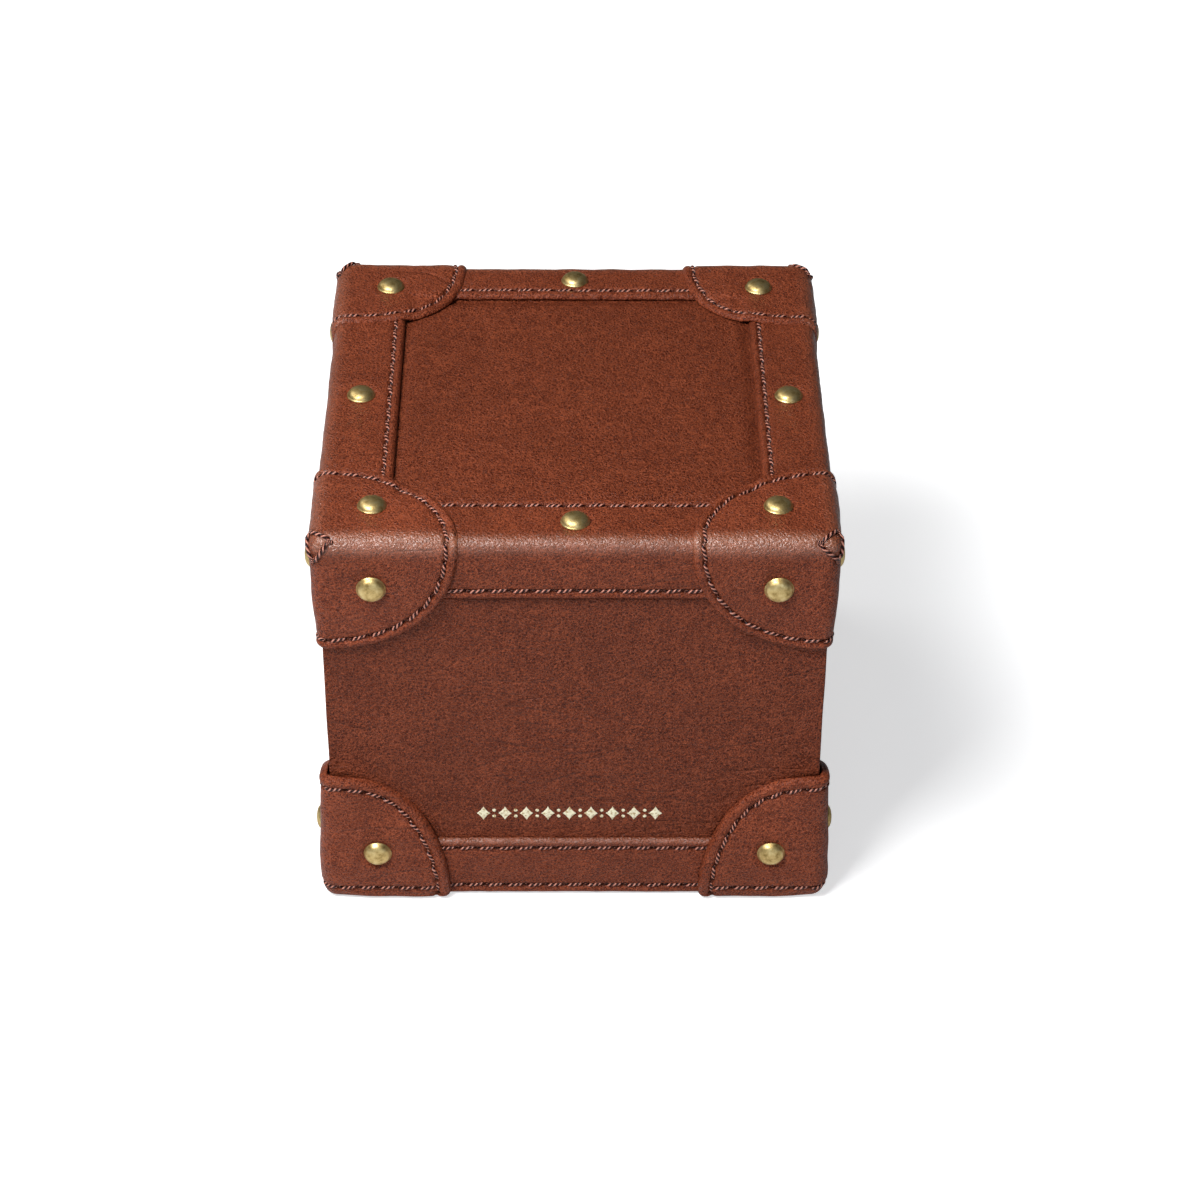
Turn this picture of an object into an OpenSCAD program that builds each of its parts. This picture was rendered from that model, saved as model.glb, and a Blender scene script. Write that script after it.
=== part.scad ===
// Pocket watch display box: a small leather-covered chest with a lift-off lid,
// stitched bindings, lobed corner caps and brass rivets, and a lift-out watch tray inside.
// Millimetres. The origin is the centre of the foot, +Z is up and the front faces -Y.

/* [Case] */
// Width of the leather-covered base, left to right
case_w = 96; // [84:1:130]
// Depth of the leather-covered base, front to back
case_d = 97.2; // [84:0.2:130]
// Height of the closed case over its leather, without the bindings
case_h = 86.6; // [80:0.2:120]
// Height of the lid's side, from the seam to the top
lid_h = 12.4; // [11.4:0.2:16]
// Gap between the lid's lower edge and the base's rim
seam_gap = 0.2; // [0.1:0.1:0.5]

/* [Boards and coverings] */
// Thickness of the covering leather
leather_t = 0.8; // [0.6:0.1:1.2]
// Thickness of the cover under the foot
foot_cover_t = 0.8; // [0.6:0.1:1.2]
// How far the cover under the foot stays inside the leather's outer face
foot_cover_inset = 0.6; // [0.3:0.1:2]
// Thickness of the base board
base_board_t = 3; // [2:0.5:5]
// Thickness of the base's wall boards
wall_t = 3; // [2.8:0.1:3.6]
// Thickness of the lid's top board
lid_board_t = 3; // [2.4:0.2:4]
// Thickness of the liner boards that make the lip
liner_t = 2; // [1.5:0.1:2.5]
// Thickness of the lid's lining
lining_t = 0.4; // [0.3:0.1:0.6]
// Gap round the lip, between the liner and the lid's lining
lip_gap = 0.3; // [0.2:0.1:0.4]
// Gap between the top of the lip and the lid's lining
lip_top_gap = 0.4; // [0.3:0.1:1]
// Radius of the lid's edges over its leather
lid_edge_r = 1.4; // [1.2:0.1:1.5]

/* [Bindings] */
// Thickness of the binding strips
strip_t = 0.9; // [0.7:0.1:1.2]
// Width of the lid's front and left bindings on the top
lid_strip_w = 14.3; // [12:0.1:18]
// Width of the lid's right binding on the top
lid_right_strip_w = 13.2; // [12:0.1:18]
// Width of the lid's back binding on the top
lid_back_strip_w = 12; // [11.4:0.2:18]
// Height of the top edge of the bindings round the foot
base_strip_top = 14.5; // [14:0.5:20]
// Height of the lower edge of the bindings and caps round the foot
foot_gap = 0.3; // [0.1:0.1:0.6]

/* [Corner caps] */
// Thickness of the lid's caps
lid_cap_t = 0.8; // [0.7:0.1:1.4]
// Reach of a lid cap along the front or back edge
lid_cap_x = 28; // [22:0.2:34]
// Reach of a lid cap along the side edge
lid_cap_y = 24.6; // [22:0.2:34]
// Drop of a lid cap down the upright corner
lid_cap_drop = 26.1; // [20:0.1:32]
// Thickness of the foot's caps, with their turned edges
base_cap_t = 1.5; // [1.2:0.1:1.8]
// Reach of a foot cap along the front or back of the bottom edge
base_cap_x = 25.6; // [20:0.2:32]
// Reach of a foot cap along the side of the bottom edge
base_cap_y = 21; // [18:0.2:30]
// Height of a foot cap at the upright corner
base_cap_top = 31; // [24:1:38]
// Radius of a foot cap's upright corner
base_cap_r = 3; // [2:0.1:3.2]
// Radius of a foot cap's bottom edge
base_cap_foot_r = 1.2; // [0.8:0.1:1.2]
// Fullness of the lobes: 2 is an ellipse, higher is squarer
lobe_power = 2.2; // [2:0.1:2.8]

/* [Rivets] */
// Diameter of a rivet's domed head
rivet_d = 5.6; // [4:0.2:7]
// Height of the dome
rivet_dome_h = 1.5; // [0.6:0.05:1.9]
// Diameter of the shank
rivet_shank_d = 1.4; // [1.2:0.1:2]
// How far the shank goes into the board
rivet_bite = 1.6; // [1:0.1:1.9]
// Distance of the rivets on the lid caps from the side, over the bindings
lid_rivet_x = 10.8; // [9:0.1:13]
// Distance of the rivets on the lid caps from the front, over the bindings
lid_rivet_front = 10.6; // [8.5:0.1:12]
// Distance of the rivets on the lid caps from the back, over the bindings
lid_rivet_back = 9.9; // [8.5:0.1:12]
// Drop of the rivets on the lid caps' hanging lobes, below the bindings' top
lid_rivet_drop = 10.2; // [9:0.1:10.5]
// Distance of the rivets in the middle of the bindings from the front and sides
edge_rivet_inset = 6.7; // [4.5:0.1:9]
// Distance of the rivet in the middle of the back binding from the back
back_rivet_inset = 5.9; // [4.5:0.1:9]
// Distance of the rivets on the foot caps from the upright corner, over the bindings
base_rivet_x = 9.8; // [8:0.1:13]
// Height of the rivets on the foot caps
base_rivet_z = 12.3; // [10:0.1:15]

/* [Tray] */
// Gap between the tray and the liner
tray_gap = 0.3; // [0.2:0.1:0.8]
// Thickness of the tray board
tray_board_t = 3; // [2:0.5:4]
// Thickness of the watch cushion
cushion_t = 18; // [14:1:24]
// Radius of the cushion's upper edges
cushion_edge_r = 4; // [2:0.5:6]
// Radius of the cushion's upright corners
cushion_corner_r = 3; // [2:0.5:6]
// Diameter of the watch recess
recess_d = 52; // [44:1:58]
// Distance of the recess's centre in front of the tray's centre
recess_forward = 6; // [4:1:8]
// Width of the slot for the watch's bow and crown
bow_slot_w = 16; // [12:1:22]
// Length of the slot beyond the recess
bow_slot_l = 13; // [8:1:13]
// Thickness of the pad under the watch
recess_pad_t = 4; // [2:0.5:8]
// Gap round the pad under the watch
recess_pad_gap = 0.2; // [0.1:0.1:0.5]
// Room between the cushion and the lid's lining
headroom = 10; // [9.5:0.5:16]
// Thickness of the boards that the tray rests on
tray_rest_t = 3; // [2:0.5:6]
// Thickness of the floor pad
floor_pad_t = 2; // [1:0.5:4]
// Width of the ribbon loop
ribbon_w = 10; // [6:1:16]
// Thickness of the ribbon
ribbon_t = 0.4; // [0.3:0.1:0.6]
// Thickness of the whole loop
ribbon_loop_t = 1.6; // [1.4:0.1:2]
// Height of the loop above the cushion
ribbon_rise = 7; // [4:1:8]
// Gap round the ribbon in its notch
ribbon_gap = 0.4; // [0.3:0.1:1]

/* [Hidden] */

// Curve resolution, and the overshoot of cutters past the faces that they cut
$fn = 48;
lobe_steps = 14;
cut = 1;

// Colours
tan_leather = "#70402c";
dark_leather = "#63372a";
brass = "#b9a274";
suede = "#a98b6a";
board_brown = "#8a7356";
black_cover = "#2c2521";

// Heights, from the foot up and from the lid's top down
base_board_z = foot_cover_t;
floor_z = base_board_z + base_board_t;
seam_z = case_h - lid_h;
rim_z = seam_z - seam_gap;
lid_board_z = case_h - leather_t - lid_board_t;
lid_lining_z = lid_board_z - lining_t;
liner_top = lid_lining_z - lip_top_gap;
cushion_top = lid_lining_z - headroom;
cushion_z = cushion_top - cushion_t;
tray_z = cushion_z - tray_board_t;
strip_top = case_h + strip_t;
lid_cap_top = strip_top + lid_cap_t;

// Widths and depths, from the leather's outer face inwards and outwards
case_size = [case_w, case_d];
board_size = grow(case_size, -leather_t);
liner_size = grow(board_size, -wall_t);
cavity_size = grow(liner_size, -liner_t);
tray_size = grow(cavity_size, -tray_gap);
lid_lining_size = grow(liner_size, lip_gap);
lid_rim_size = grow(lid_lining_size, lining_t);
lid_rim_t = (board_size[0] - lid_rim_size[0]) / 2;
strip_size = grow(case_size, strip_t);
lid_cap_size = grow(strip_size, lid_cap_t);
base_cap_size = grow(strip_size, base_cap_t);

// Radii that follow the lid's edge outwards
strip_r = lid_edge_r + strip_t;
lid_cap_r = strip_r + lid_cap_t;

// Depth of a rivet's shank below the face that its head sits on
lid_cap_shank = lid_cap_t + strip_t + leather_t + rivet_bite;
edge_shank = strip_t + leather_t + rivet_bite;
base_cap_shank = base_cap_t + strip_t + leather_t + rivet_bite;

// A size made larger, or smaller, by the same amount on every side
function grow(size, by) = [size[0] + 2 * by, size[1] + 2 * by];

// The width along a side and the distance across to the opposite side
function side_size(side, size) = side % 2 == 0 ? size : [size[1], size[0]];

// A quarter outline, full from reach a on one edge to reach b on the other
function lobe(a, b) = [
    for (i = [0 : lobe_steps])
        let (t = 90 * i / lobe_steps)
        [a * pow(cos(t), 2 / lobe_power), b * pow(sin(t), 2 / lobe_power)]
];

// The lobe as a closed outline that also runs past both edges that meet in the corner
function lobe_outline(a, b) = concat([[a, -cut]], lobe(a, b), [[-cut, b], [-cut, -cut]]);

// Sides are numbered 0 front, 1 right, 2 back and 3 left
module on_side(side) {
    rotate([0, 0, 90 * side])
        children();
}

// Corners are given by their signs; children are modelled at the right back corner
module at_corner(sx, sy) {
    mirror([sx < 0 ? 1 : 0, 0, 0])
        mirror([0, sy < 0 ? 1 : 0, 0])
            children();
}

module slab(size, z0, z1) {
    translate([-size[0] / 2, -size[1] / 2, z0])
        cube([size[0], size[1], z1 - z0]);
}

// One side of a box of boards whose front and back run the full width
module butted_side(side, size, t, z0, z1) {
    own = side_size(side, size);
    length = side % 2 == 0 ? own[0] : own[0] - 2 * t;
    on_side(side)
        translate([-length / 2, -own[1] / 2, z0])
            cube([length, t, z1 - z0]);
}

// One side of a box whose corners are mitred
module mitred_side(side, size, t, z0, z1) {
    own = side_size(side, size);
    x = own[0] / 2;
    y = own[1] / 2;
    on_side(side)
        translate([0, 0, z0])
            linear_extrude(z1 - z0)
                polygon([[-x, -y], [x, -y], [x - t, t - y], [t - x, t - y]]);
}

// A gate shape: flat foot, rounded upper corners
module gate(w, h, r) {
    translate([-w / 2, 0])
        square([w, h - r]);
    translate([r - w / 2, 0])
        square([w - 2 * r, h]);
    for (s = [-1, 1])
        translate([s * (w / 2 - r), h - r])
            circle(r);
}

module round_plate(size, r) {
    translate([-size[0] / 2, r - size[1] / 2])
        square([size[0], size[1] - 2 * r]);
    translate([r - size[0] / 2, -size[1] / 2])
        square([size[0] - 2 * r, size[1]]);
    for (sx = [-1, 1], sy = [-1, 1])
        translate([sx * (size[0] / 2 - r), sy * (size[1] / 2 - r)])
            circle(r);
}

// A block with rounded upper and upright edges
module soft_block(size, z0, z1, r, corner_r) {
    translate([0, 0, z0])
        intersection() {
            rotate([90, 0, 0])
                linear_extrude(size[1] + 2 * cut, center = true)
                    gate(size[0], z1 - z0, r);
            rotate([90, 0, 90])
                linear_extrude(size[0] + 2 * cut, center = true)
                    gate(size[1], z1 - z0, r);
            linear_extrude(z1 - z0)
                round_plate(size, corner_r);
        }
}

module rivet(shank) {
    radius = rivet_d / 2;
    curve = (radius * radius + rivet_dome_h * rivet_dome_h) / (2 * rivet_dome_h);
    intersection() {
        translate([0, 0, rivet_dome_h - curve])
            sphere(curve);
        cylinder(r = radius, h = rivet_dome_h + cut);
    }
    translate([0, 0, -shank])
        cylinder(d = rivet_shank_d, h = shank);
}

module rivet_hole(shank) {
    translate([0, 0, -shank])
        cylinder(d = rivet_shank_d, h = shank + cut);
}

// Seats of the three rivets of the lid cap at the right back or right front corner
module lid_cap_seats(y_inset) {
    x = strip_size[0] / 2 - lid_rivet_x;
    y = strip_size[1] / 2 - y_inset;
    z = strip_top - lid_rivet_drop;
    translate([x, y, lid_cap_top])
        children();
    translate([x, lid_cap_size[1] / 2, z])
        rotate([-90, 0, 0])
            children();
    translate([lid_cap_size[0] / 2, y, z])
        rotate([0, 90, 0])
            children();
}

module all_lid_cap_seats() {
    for (sx = [-1, 1], sy = [-1, 1])
        at_corner(sx, sy)
            lid_cap_seats(sy < 0 ? lid_rivet_front : lid_rivet_back)
                children();
}

module all_edge_seats() {
    for (side = [0 : 3])
        on_side(side)
            translate([0, edge_inset(side) - side_size(side, strip_size)[1] / 2, strip_top])
                children();
}

function edge_inset(side) = side == 2 ? back_rivet_inset : edge_rivet_inset;

module all_base_seats() {
    for (sx = [-1, 1], sy = [-1, 1])
        at_corner(sx, sy) {
            translate([strip_size[0] / 2 - base_rivet_x, base_cap_size[1] / 2, base_rivet_z])
                rotate([-90, 0, 0])
                    children();
            translate([base_cap_size[0] / 2, strip_size[1] / 2 - base_rivet_x, base_rivet_z])
                rotate([0, 90, 0])
                    children();
        }
}

module lid_rivet_holes() {
    all_lid_cap_seats()
        rivet_hole(lid_cap_shank);
    all_edge_seats()
        rivet_hole(edge_shank);
}

module base_rivet_holes() {
    all_base_seats()
        rivet_hole(base_cap_shank);
}

// ---- Base ----

module base_cover() {
    color(black_cover)
        slab(grow(case_size, -foot_cover_inset), 0, foot_cover_t);
}

module base_board() {
    color(board_brown)
        slab(board_size, base_board_z, floor_z);
}

module wall_board(side) {
    color(board_brown)
        difference() {
            butted_side(side, board_size, wall_t, floor_z, rim_z - leather_t);
            base_rivet_holes();
        }
}

// The covering, turned over the rim down to the liner
module body_leather() {
    color(dark_leather)
        difference() {
            slab(case_size, foot_cover_t, rim_z);
            slab(board_size, foot_cover_t - cut, rim_z - leather_t);
            slab(liner_size, foot_cover_t - cut, rim_z + cut);
            base_rivet_holes();
        }
}

module liner(side) {
    color(suede)
        mitred_side(side, liner_size, liner_t, floor_z, liner_top);
}

module tray_rest(s) {
    color(suede)
        translate([s * (cavity_size[0] - tray_rest_t) / 2, 0, 0])
            slab([tray_rest_t, cavity_size[1]], floor_z, tray_z);
}

module floor_pad() {
    color(suede)
        slab([cavity_size[0] - 2 * tray_rest_t, cavity_size[1]], floor_z, floor_z + floor_pad_t);
}

module base_binding(side) {
    color(tan_leather)
        difference() {
            mitred_side(side, strip_size, strip_t, foot_gap, base_strip_top);
            base_rivet_holes();
        }
}

// The outer form of the foot caps: rounded upright corners and a rounded bottom edge
module base_cap_form() {
    height = base_cap_top + cut;
    translate([0, 0, foot_gap])
        intersection() {
            translate([0, 0, height])
                rotate([-90, 0, 0])
                    linear_extrude(base_cap_size[1] + 2 * cut, center = true)
                        gate(base_cap_size[0], height, base_cap_foot_r);
            translate([0, 0, height])
                rotate([-90, 0, 90])
                    linear_extrude(base_cap_size[0] + 2 * cut, center = true)
                        gate(base_cap_size[1], height, base_cap_foot_r);
            linear_extrude(height)
                round_plate(base_cap_size, base_cap_r);
        }
}

module base_corner(sx, sy) {
    rise = base_cap_top - foot_gap;
    depth = base_cap_r + base_cap_t;
    x = base_cap_size[0] / 2;
    y = base_cap_size[1] / 2;
    color(tan_leather)
        difference() {
            intersection() {
                base_cap_form();
                at_corner(sx, sy)
                    union() {
                        translate([0, y + cut, foot_gap])
                            rotate([90, 0, 0])
                                linear_extrude(depth)
                                    polygon([for (p = lobe_outline(base_cap_x, rise)) [x - p[0], p[1]]]);
                        translate([x + cut - depth, 0, foot_gap])
                            rotate([90, 0, 90])
                                linear_extrude(depth)
                                    polygon([for (p = lobe_outline(base_cap_y, rise)) [y - p[0], p[1]]]);
                    }
            }
            slab(strip_size, 0, base_cap_top + 2 * cut);
            base_rivet_holes();
        }
}

module base_rivets() {
    color(brass)
        all_base_seats()
            rivet(base_cap_shank);
}

// ---- Tray ----

module tray_board() {
    color(suede)
        slab(tray_size, tray_z, cushion_z);
}

module recess_cut(z0, z1, gap) {
    translate([0, -recess_forward, z0])
        cylinder(d = recess_d - 2 * gap, h = z1 - z0);
}

module watch_cushion() {
    slot_end = recess_d / 2 + bow_slot_l - bow_slot_w / 2 - recess_forward;
    notch_y = ribbon_gap + ribbon_loop_t + ribbon_gap;
    color(suede)
        difference() {
            soft_block(tray_size, cushion_z, cushion_top, cushion_edge_r, cushion_corner_r);
            recess_cut(cushion_z - cut, cushion_top + cut, 0);
            translate([-bow_slot_w / 2, -recess_forward, cushion_z + recess_pad_t])
                cube([bow_slot_w, slot_end + recess_forward, cushion_t]);
            translate([0, slot_end, cushion_z + recess_pad_t])
                cylinder(d = bow_slot_w, h = cushion_t);
            translate([-ribbon_w / 2 - ribbon_gap, -tray_size[1] / 2 - cut, cushion_z - cut])
                cube([ribbon_w + 2 * ribbon_gap, notch_y + cut, cushion_t + 2 * cut]);
        }
}

module recess_pad() {
    color(suede)
        recess_cut(cushion_z, cushion_z + recess_pad_t, recess_pad_gap);
}

module loop_outline(t, h) {
    translate([-t / 2, 0])
        square([t, h - t / 2]);
    translate([0, h - t / 2])
        circle(d = t);
}

module ribbon_tab() {
    height = cushion_t + ribbon_rise;
    color("#8c3f2e")
        translate([-ribbon_w / 2, ribbon_gap + ribbon_loop_t / 2 - tray_size[1] / 2, cushion_z])
            rotate([90, 0, 90])
                linear_extrude(ribbon_w)
                    difference() {
                        loop_outline(ribbon_loop_t, height);
                        translate([0, -cut])
                            loop_outline(ribbon_loop_t - 2 * ribbon_t, height + cut - ribbon_t);
                    }
}

// ---- Lid ----

module lid_board() {
    color(board_brown)
        difference() {
            slab(board_size, lid_board_z, case_h - leather_t);
            lid_rivet_holes();
        }
}

module lid_rim(side) {
    color(board_brown)
        difference() {
            butted_side(side, board_size, lid_rim_t, seam_z + leather_t, lid_board_z);
            lid_rivet_holes();
        }
}

// The covering of the lid, turned under the rim boards
module lid_leather() {
    color(dark_leather)
        difference() {
            soft_block(case_size, seam_z, case_h, lid_edge_r, lid_edge_r);
            slab(board_size, seam_z + leather_t, case_h - leather_t);
            slab(lid_rim_size, seam_z - cut, seam_z + leather_t + cut);
            lid_rivet_holes();
        }
}

module lid_lining_top() {
    color(suede)
        slab(lid_rim_size, lid_lining_z, lid_board_z);
}

module lid_lining_rim() {
    color(suede)
        difference() {
            slab(lid_rim_size, seam_z, lid_lining_z);
            slab(lid_lining_size, seam_z - cut, lid_lining_z + cut);
        }
}

// Corners in order front left, front right, back right and back left
function corner_points(left, right, front, back) = [
    [-left, -front], [right, -front], [right, back], [-left, back]
];

// A strip folded over the lid's edge, cut at its corners towards those of the sunk panel
module lid_binding(side) {
    x = lid_cap_size[0] / 2;
    y = lid_cap_size[1] / 2;
    outer = corner_points(x, x, y, y);
    window = corner_points(
        strip_size[0] / 2 - lid_strip_w,
        strip_size[0] / 2 - lid_right_strip_w,
        strip_size[1] / 2 - lid_strip_w,
        strip_size[1] / 2 - lid_back_strip_w
    );
    next = (side + 1) % 4;
    color(tan_leather)
        difference() {
            intersection() {
                soft_block(strip_size, seam_z, strip_top, strip_r, strip_r);
                translate([0, 0, seam_z - cut])
                    linear_extrude(lid_h + strip_t + 2 * cut)
                        polygon([outer[side], outer[next], window[next], window[side]]);
            }
            soft_block(case_size, seam_z - cut, case_h, lid_edge_r, lid_edge_r);
            lid_rivet_holes();
        }
}

module lid_corner(sx, sy) {
    bottom = lid_cap_top - lid_cap_drop;
    depth = lid_cap_r + cut;
    x = lid_cap_size[0] / 2;
    y = lid_cap_size[1] / 2;
    color(tan_leather)
        difference() {
            intersection() {
                soft_block(lid_cap_size, bottom - cut, lid_cap_top, lid_cap_r, lid_cap_r);
                at_corner(sx, sy)
                    union() {
                        translate([0, 0, lid_cap_top + cut - depth])
                            linear_extrude(depth)
                                polygon([for (p = lobe_outline(lid_cap_x, lid_cap_y)) [x - p[0], y - p[1]]]);
                        translate([0, y + cut, lid_cap_top])
                            rotate([90, 0, 0])
                                linear_extrude(depth)
                                    polygon([for (p = lobe_outline(lid_cap_x, lid_cap_drop)) [x - p[0], -p[1]]]);
                        translate([x + cut - depth, 0, lid_cap_top])
                            rotate([90, 0, 90])
                                linear_extrude(depth)
                                    polygon([for (p = lobe_outline(lid_cap_y, lid_cap_drop)) [y - p[0], -p[1]]]);
                    }
            }
            soft_block(strip_size, bottom - 2 * cut, strip_top, strip_r, strip_r);
            lid_rivet_holes();
        }
}

module lid_edge_rivets() {
    color(brass)
        all_edge_seats()
            rivet(edge_shank);
}

module lid_corner_rivets() {
    color(brass)
        all_lid_cap_seats()
            rivet(lid_cap_shank);
}

base_cover();
base_board();
wall_board(0);  // wall_board_front
wall_board(1);  // wall_board_right
wall_board(2);  // wall_board_back
wall_board(3);  // wall_board_left
body_leather();
liner(0);  // liner_front
liner(1);  // liner_right
liner(2);  // liner_back
liner(3);  // liner_left
floor_pad();
tray_rest(-1);  // tray_rest_left
tray_rest(1);  // tray_rest_right
base_binding(0);  // base_binding_front
base_binding(1);  // base_binding_right
base_binding(2);  // base_binding_back
base_binding(3);  // base_binding_left
base_corner(-1, -1);  // base_corner_fl
base_corner(1, -1);  // base_corner_fr
base_corner(-1, 1);  // base_corner_bl
base_corner(1, 1);  // base_corner_br
base_rivets();
tray_board();
watch_cushion();
recess_pad();
ribbon_tab();
lid_board();
lid_rim(0);  // lid_rim_front
lid_rim(1);  // lid_rim_right
lid_rim(2);  // lid_rim_back
lid_rim(3);  // lid_rim_left
lid_leather();
lid_lining_top();
lid_lining_rim();
lid_binding(0);  // lid_binding_front
lid_binding(1);  // lid_binding_right
lid_binding(2);  // lid_binding_back
lid_binding(3);  // lid_binding_left
lid_corner(-1, -1);  // lid_corner_fl
lid_corner(1, -1);  // lid_corner_fr
lid_corner(-1, 1);  // lid_corner_bl
lid_corner(1, 1);  // lid_corner_br
lid_edge_rivets();
lid_corner_rivets();
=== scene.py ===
"""Looks of a small leather-covered display box for a pocket watch.

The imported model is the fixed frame. Every shape below is worked out in millimetres from it and
turned to metres as a mesh is made. Front is -Y, up is +Z.
"""

import math
from collections import namedtuple

import bmesh
import bpy
import numpy as np
from mathutils import Matrix, Vector, kdtree


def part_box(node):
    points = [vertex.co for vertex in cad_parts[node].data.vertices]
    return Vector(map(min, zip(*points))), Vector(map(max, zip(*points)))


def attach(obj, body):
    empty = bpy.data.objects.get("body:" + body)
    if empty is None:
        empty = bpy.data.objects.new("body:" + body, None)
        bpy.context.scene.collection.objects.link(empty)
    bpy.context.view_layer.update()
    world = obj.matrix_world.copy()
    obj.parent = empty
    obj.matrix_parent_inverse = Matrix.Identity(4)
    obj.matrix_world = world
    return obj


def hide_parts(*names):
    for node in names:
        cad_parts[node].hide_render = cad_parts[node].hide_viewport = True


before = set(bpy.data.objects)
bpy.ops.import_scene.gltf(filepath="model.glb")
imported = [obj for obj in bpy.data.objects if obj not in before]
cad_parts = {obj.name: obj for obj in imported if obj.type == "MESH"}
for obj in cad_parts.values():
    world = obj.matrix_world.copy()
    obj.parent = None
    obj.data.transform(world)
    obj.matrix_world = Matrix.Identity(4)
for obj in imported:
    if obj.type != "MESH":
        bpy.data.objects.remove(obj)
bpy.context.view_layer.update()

bl_info = {
    "name": "Leather Watch Box",
    "version": (1, 0, 0),
    "blender": (4, 5, 0),
    "location": "View3D > Sidebar > Watch Box",
    "description": "Leather, brass, thread and suede for a pocket watch display box",
    "category": "Object",
}

MM = 0.001


# ---- Sizes read from the frame, in millimetres ----

def box_mm(node):
    """Lowest and highest corners of a node, in millimetres."""
    low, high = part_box(node)
    return np.array(low) / MM, np.array(high) / MM


def low_of(node, axis):
    return float(box_mm(node)[0][axis])


def high_of(node, axis):
    return float(box_mm(node)[1][axis])


SIDES = ("front", "right", "back", "left")
# Cosine and sine of the turn that takes a front side's shape to each side
QUARTER_TURNS = ((1, 0), (0, 1), (-1, 0), (0, -1))
CASE_X = high_of("body_leather", 0)
CASE_Y = high_of("body_leather", 1)
LEATHER_FOOT = low_of("body_leather", 2)
RIM_Z = high_of("body_leather", 2)
LINER_X = high_of("liner_right", 0)
LID_TOP = high_of("lid_leather", 2)
SEAM_Z = low_of("lid_leather", 2)
LEATHER_T = LID_TOP - high_of("lid_board", 2)
LID_RIM_INNER = high_of("lid_lining_rim", 0)
STRIP_TOP = high_of("lid_binding_front", 2)
STRIP_T = STRIP_TOP - LID_TOP
STRIP_X = CASE_X + STRIP_T
STRIP_Y = CASE_Y + STRIP_T
FOOT_STRIP_LOW = low_of("base_binding_front", 2)
FOOT_STRIP_HIGH = high_of("base_binding_front", 2)
LID_CAP_T = high_of("lid_corner_br", 2) - STRIP_TOP
LID_CAP_X = high_of("lid_corner_br", 0) - low_of("lid_corner_br", 0) - LID_CAP_T
LID_CAP_Y = high_of("lid_corner_br", 1) - low_of("lid_corner_br", 1) - LID_CAP_T
LID_CAP_DROP = STRIP_TOP - low_of("lid_corner_br", 2)
FOOT_CAP_T = high_of("base_corner_br", 0) - STRIP_X
FOOT_CAP_X = STRIP_X - low_of("base_corner_br", 0)
FOOT_CAP_Y = STRIP_Y - low_of("base_corner_br", 1)
FOOT_CAP_TOP = high_of("base_corner_br", 2)


def top_width(side):
    """Width of a lid binding on the top, from its outer edge to the sunk panel."""
    axis = 1 if side in ("front", "back") else 0
    outer = (STRIP_X, STRIP_Y)[axis]
    node = "lid_binding_" + side
    return outer + high_of(node, axis) if side in ("front", "left") else outer - low_of(node, axis)


LID_STRIP_W = {side: top_width(side) for side in SIDES}
WINDOW_LOW = np.array([LID_STRIP_W["left"] - STRIP_X, LID_STRIP_W["front"] - STRIP_Y])
WINDOW_HIGH = np.array([STRIP_X - LID_STRIP_W["right"], STRIP_Y - LID_STRIP_W["back"]])


# ---- What a user would change ----

def length(name, text, default, low, high):
    """A length property given in millimetres."""
    return bpy.props.FloatProperty(
        name=name, description=text, default=default * MM, min=low * MM, max=high * MM,
        unit="LENGTH", subtype="DISTANCE", precision=4,
    )


def colour(name, text, code):
    return bpy.props.FloatVectorProperty(
        name=name, description=text, default=linear(code), size=4, min=0, max=1, subtype="COLOR",
    )


def linear(code):
    """Linear RGBA of an sRGB hex code."""
    parts = [int(code[i : i + 2], 16) / 255 for i in (1, 3, 5)]
    return [c / 12.92 if c <= 0.04045 else ((c + 0.055) / 1.055) ** 2.4 for c in parts] + [1.0]


class WATCHBOX_PG_sizes(bpy.types.PropertyGroup):
    stitch_pitch: length("Stitch Pitch", "Distance from one stitch to the next", 4.0, 2, 8)
    stitch_inset: length("Stitch Inset", "Distance of a stitched row from the leather's edge", 2.2, 1, 5)
    thread_thickness: length("Thread Thickness", "Thickness of the waxed thread", 0.82, 0.3, 1.5)
    edge_roll: length("Edge Roll", "How far the turned edge swells above the leather", 0.16, 0, 0.5)
    groove_depth: length("Groove Depth", "How deep the thread pulls the leather down", 0.42, 0, 0.8)
    grain: length("Leather Grain", "Width of one mark of the leather's grain", 0.4, 0.2, 2)


class WATCHBOX_PG_colours(bpy.types.PropertyGroup):
    leather: colour("Leather", "Covering and trim leather", "#582414")
    leather_deep: colour("Leather Deep", "Pores of the grain", "#361108")
    leather_pale: colour("Leather Pale", "Rubbed strokes of the grain", "#954c30")
    # Worn folded edges, partly a painted highlight
    leather_edge_wear_highlight: colour("Leather Worn", "Folded edges worn pale", "#a56a4c")
    # Painted shade in the needle holes
    leather_hole_shade: colour("Leather Pit", "Needle holes, burnished dark", "#241009")
    thread: colour("Thread", "Waxed thread", "#6a3022")
    brass: colour("Brass", "Antiqued brass of the rivets", "#c9af74")
    suede: colour("Suede", "Lining, tray and pads", "#a98a67")
    foil: colour("Foil", "Tooled ornament on the front", "#f0e9c9")


def sizes():
    return bpy.context.scene.watchbox_sizes


def colours():
    return bpy.context.scene.watchbox_colours


def mm(value):
    """A length property as millimetres."""
    return value / MM


# ---- Shapes: a rounded case form and leather laid on it ----

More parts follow.
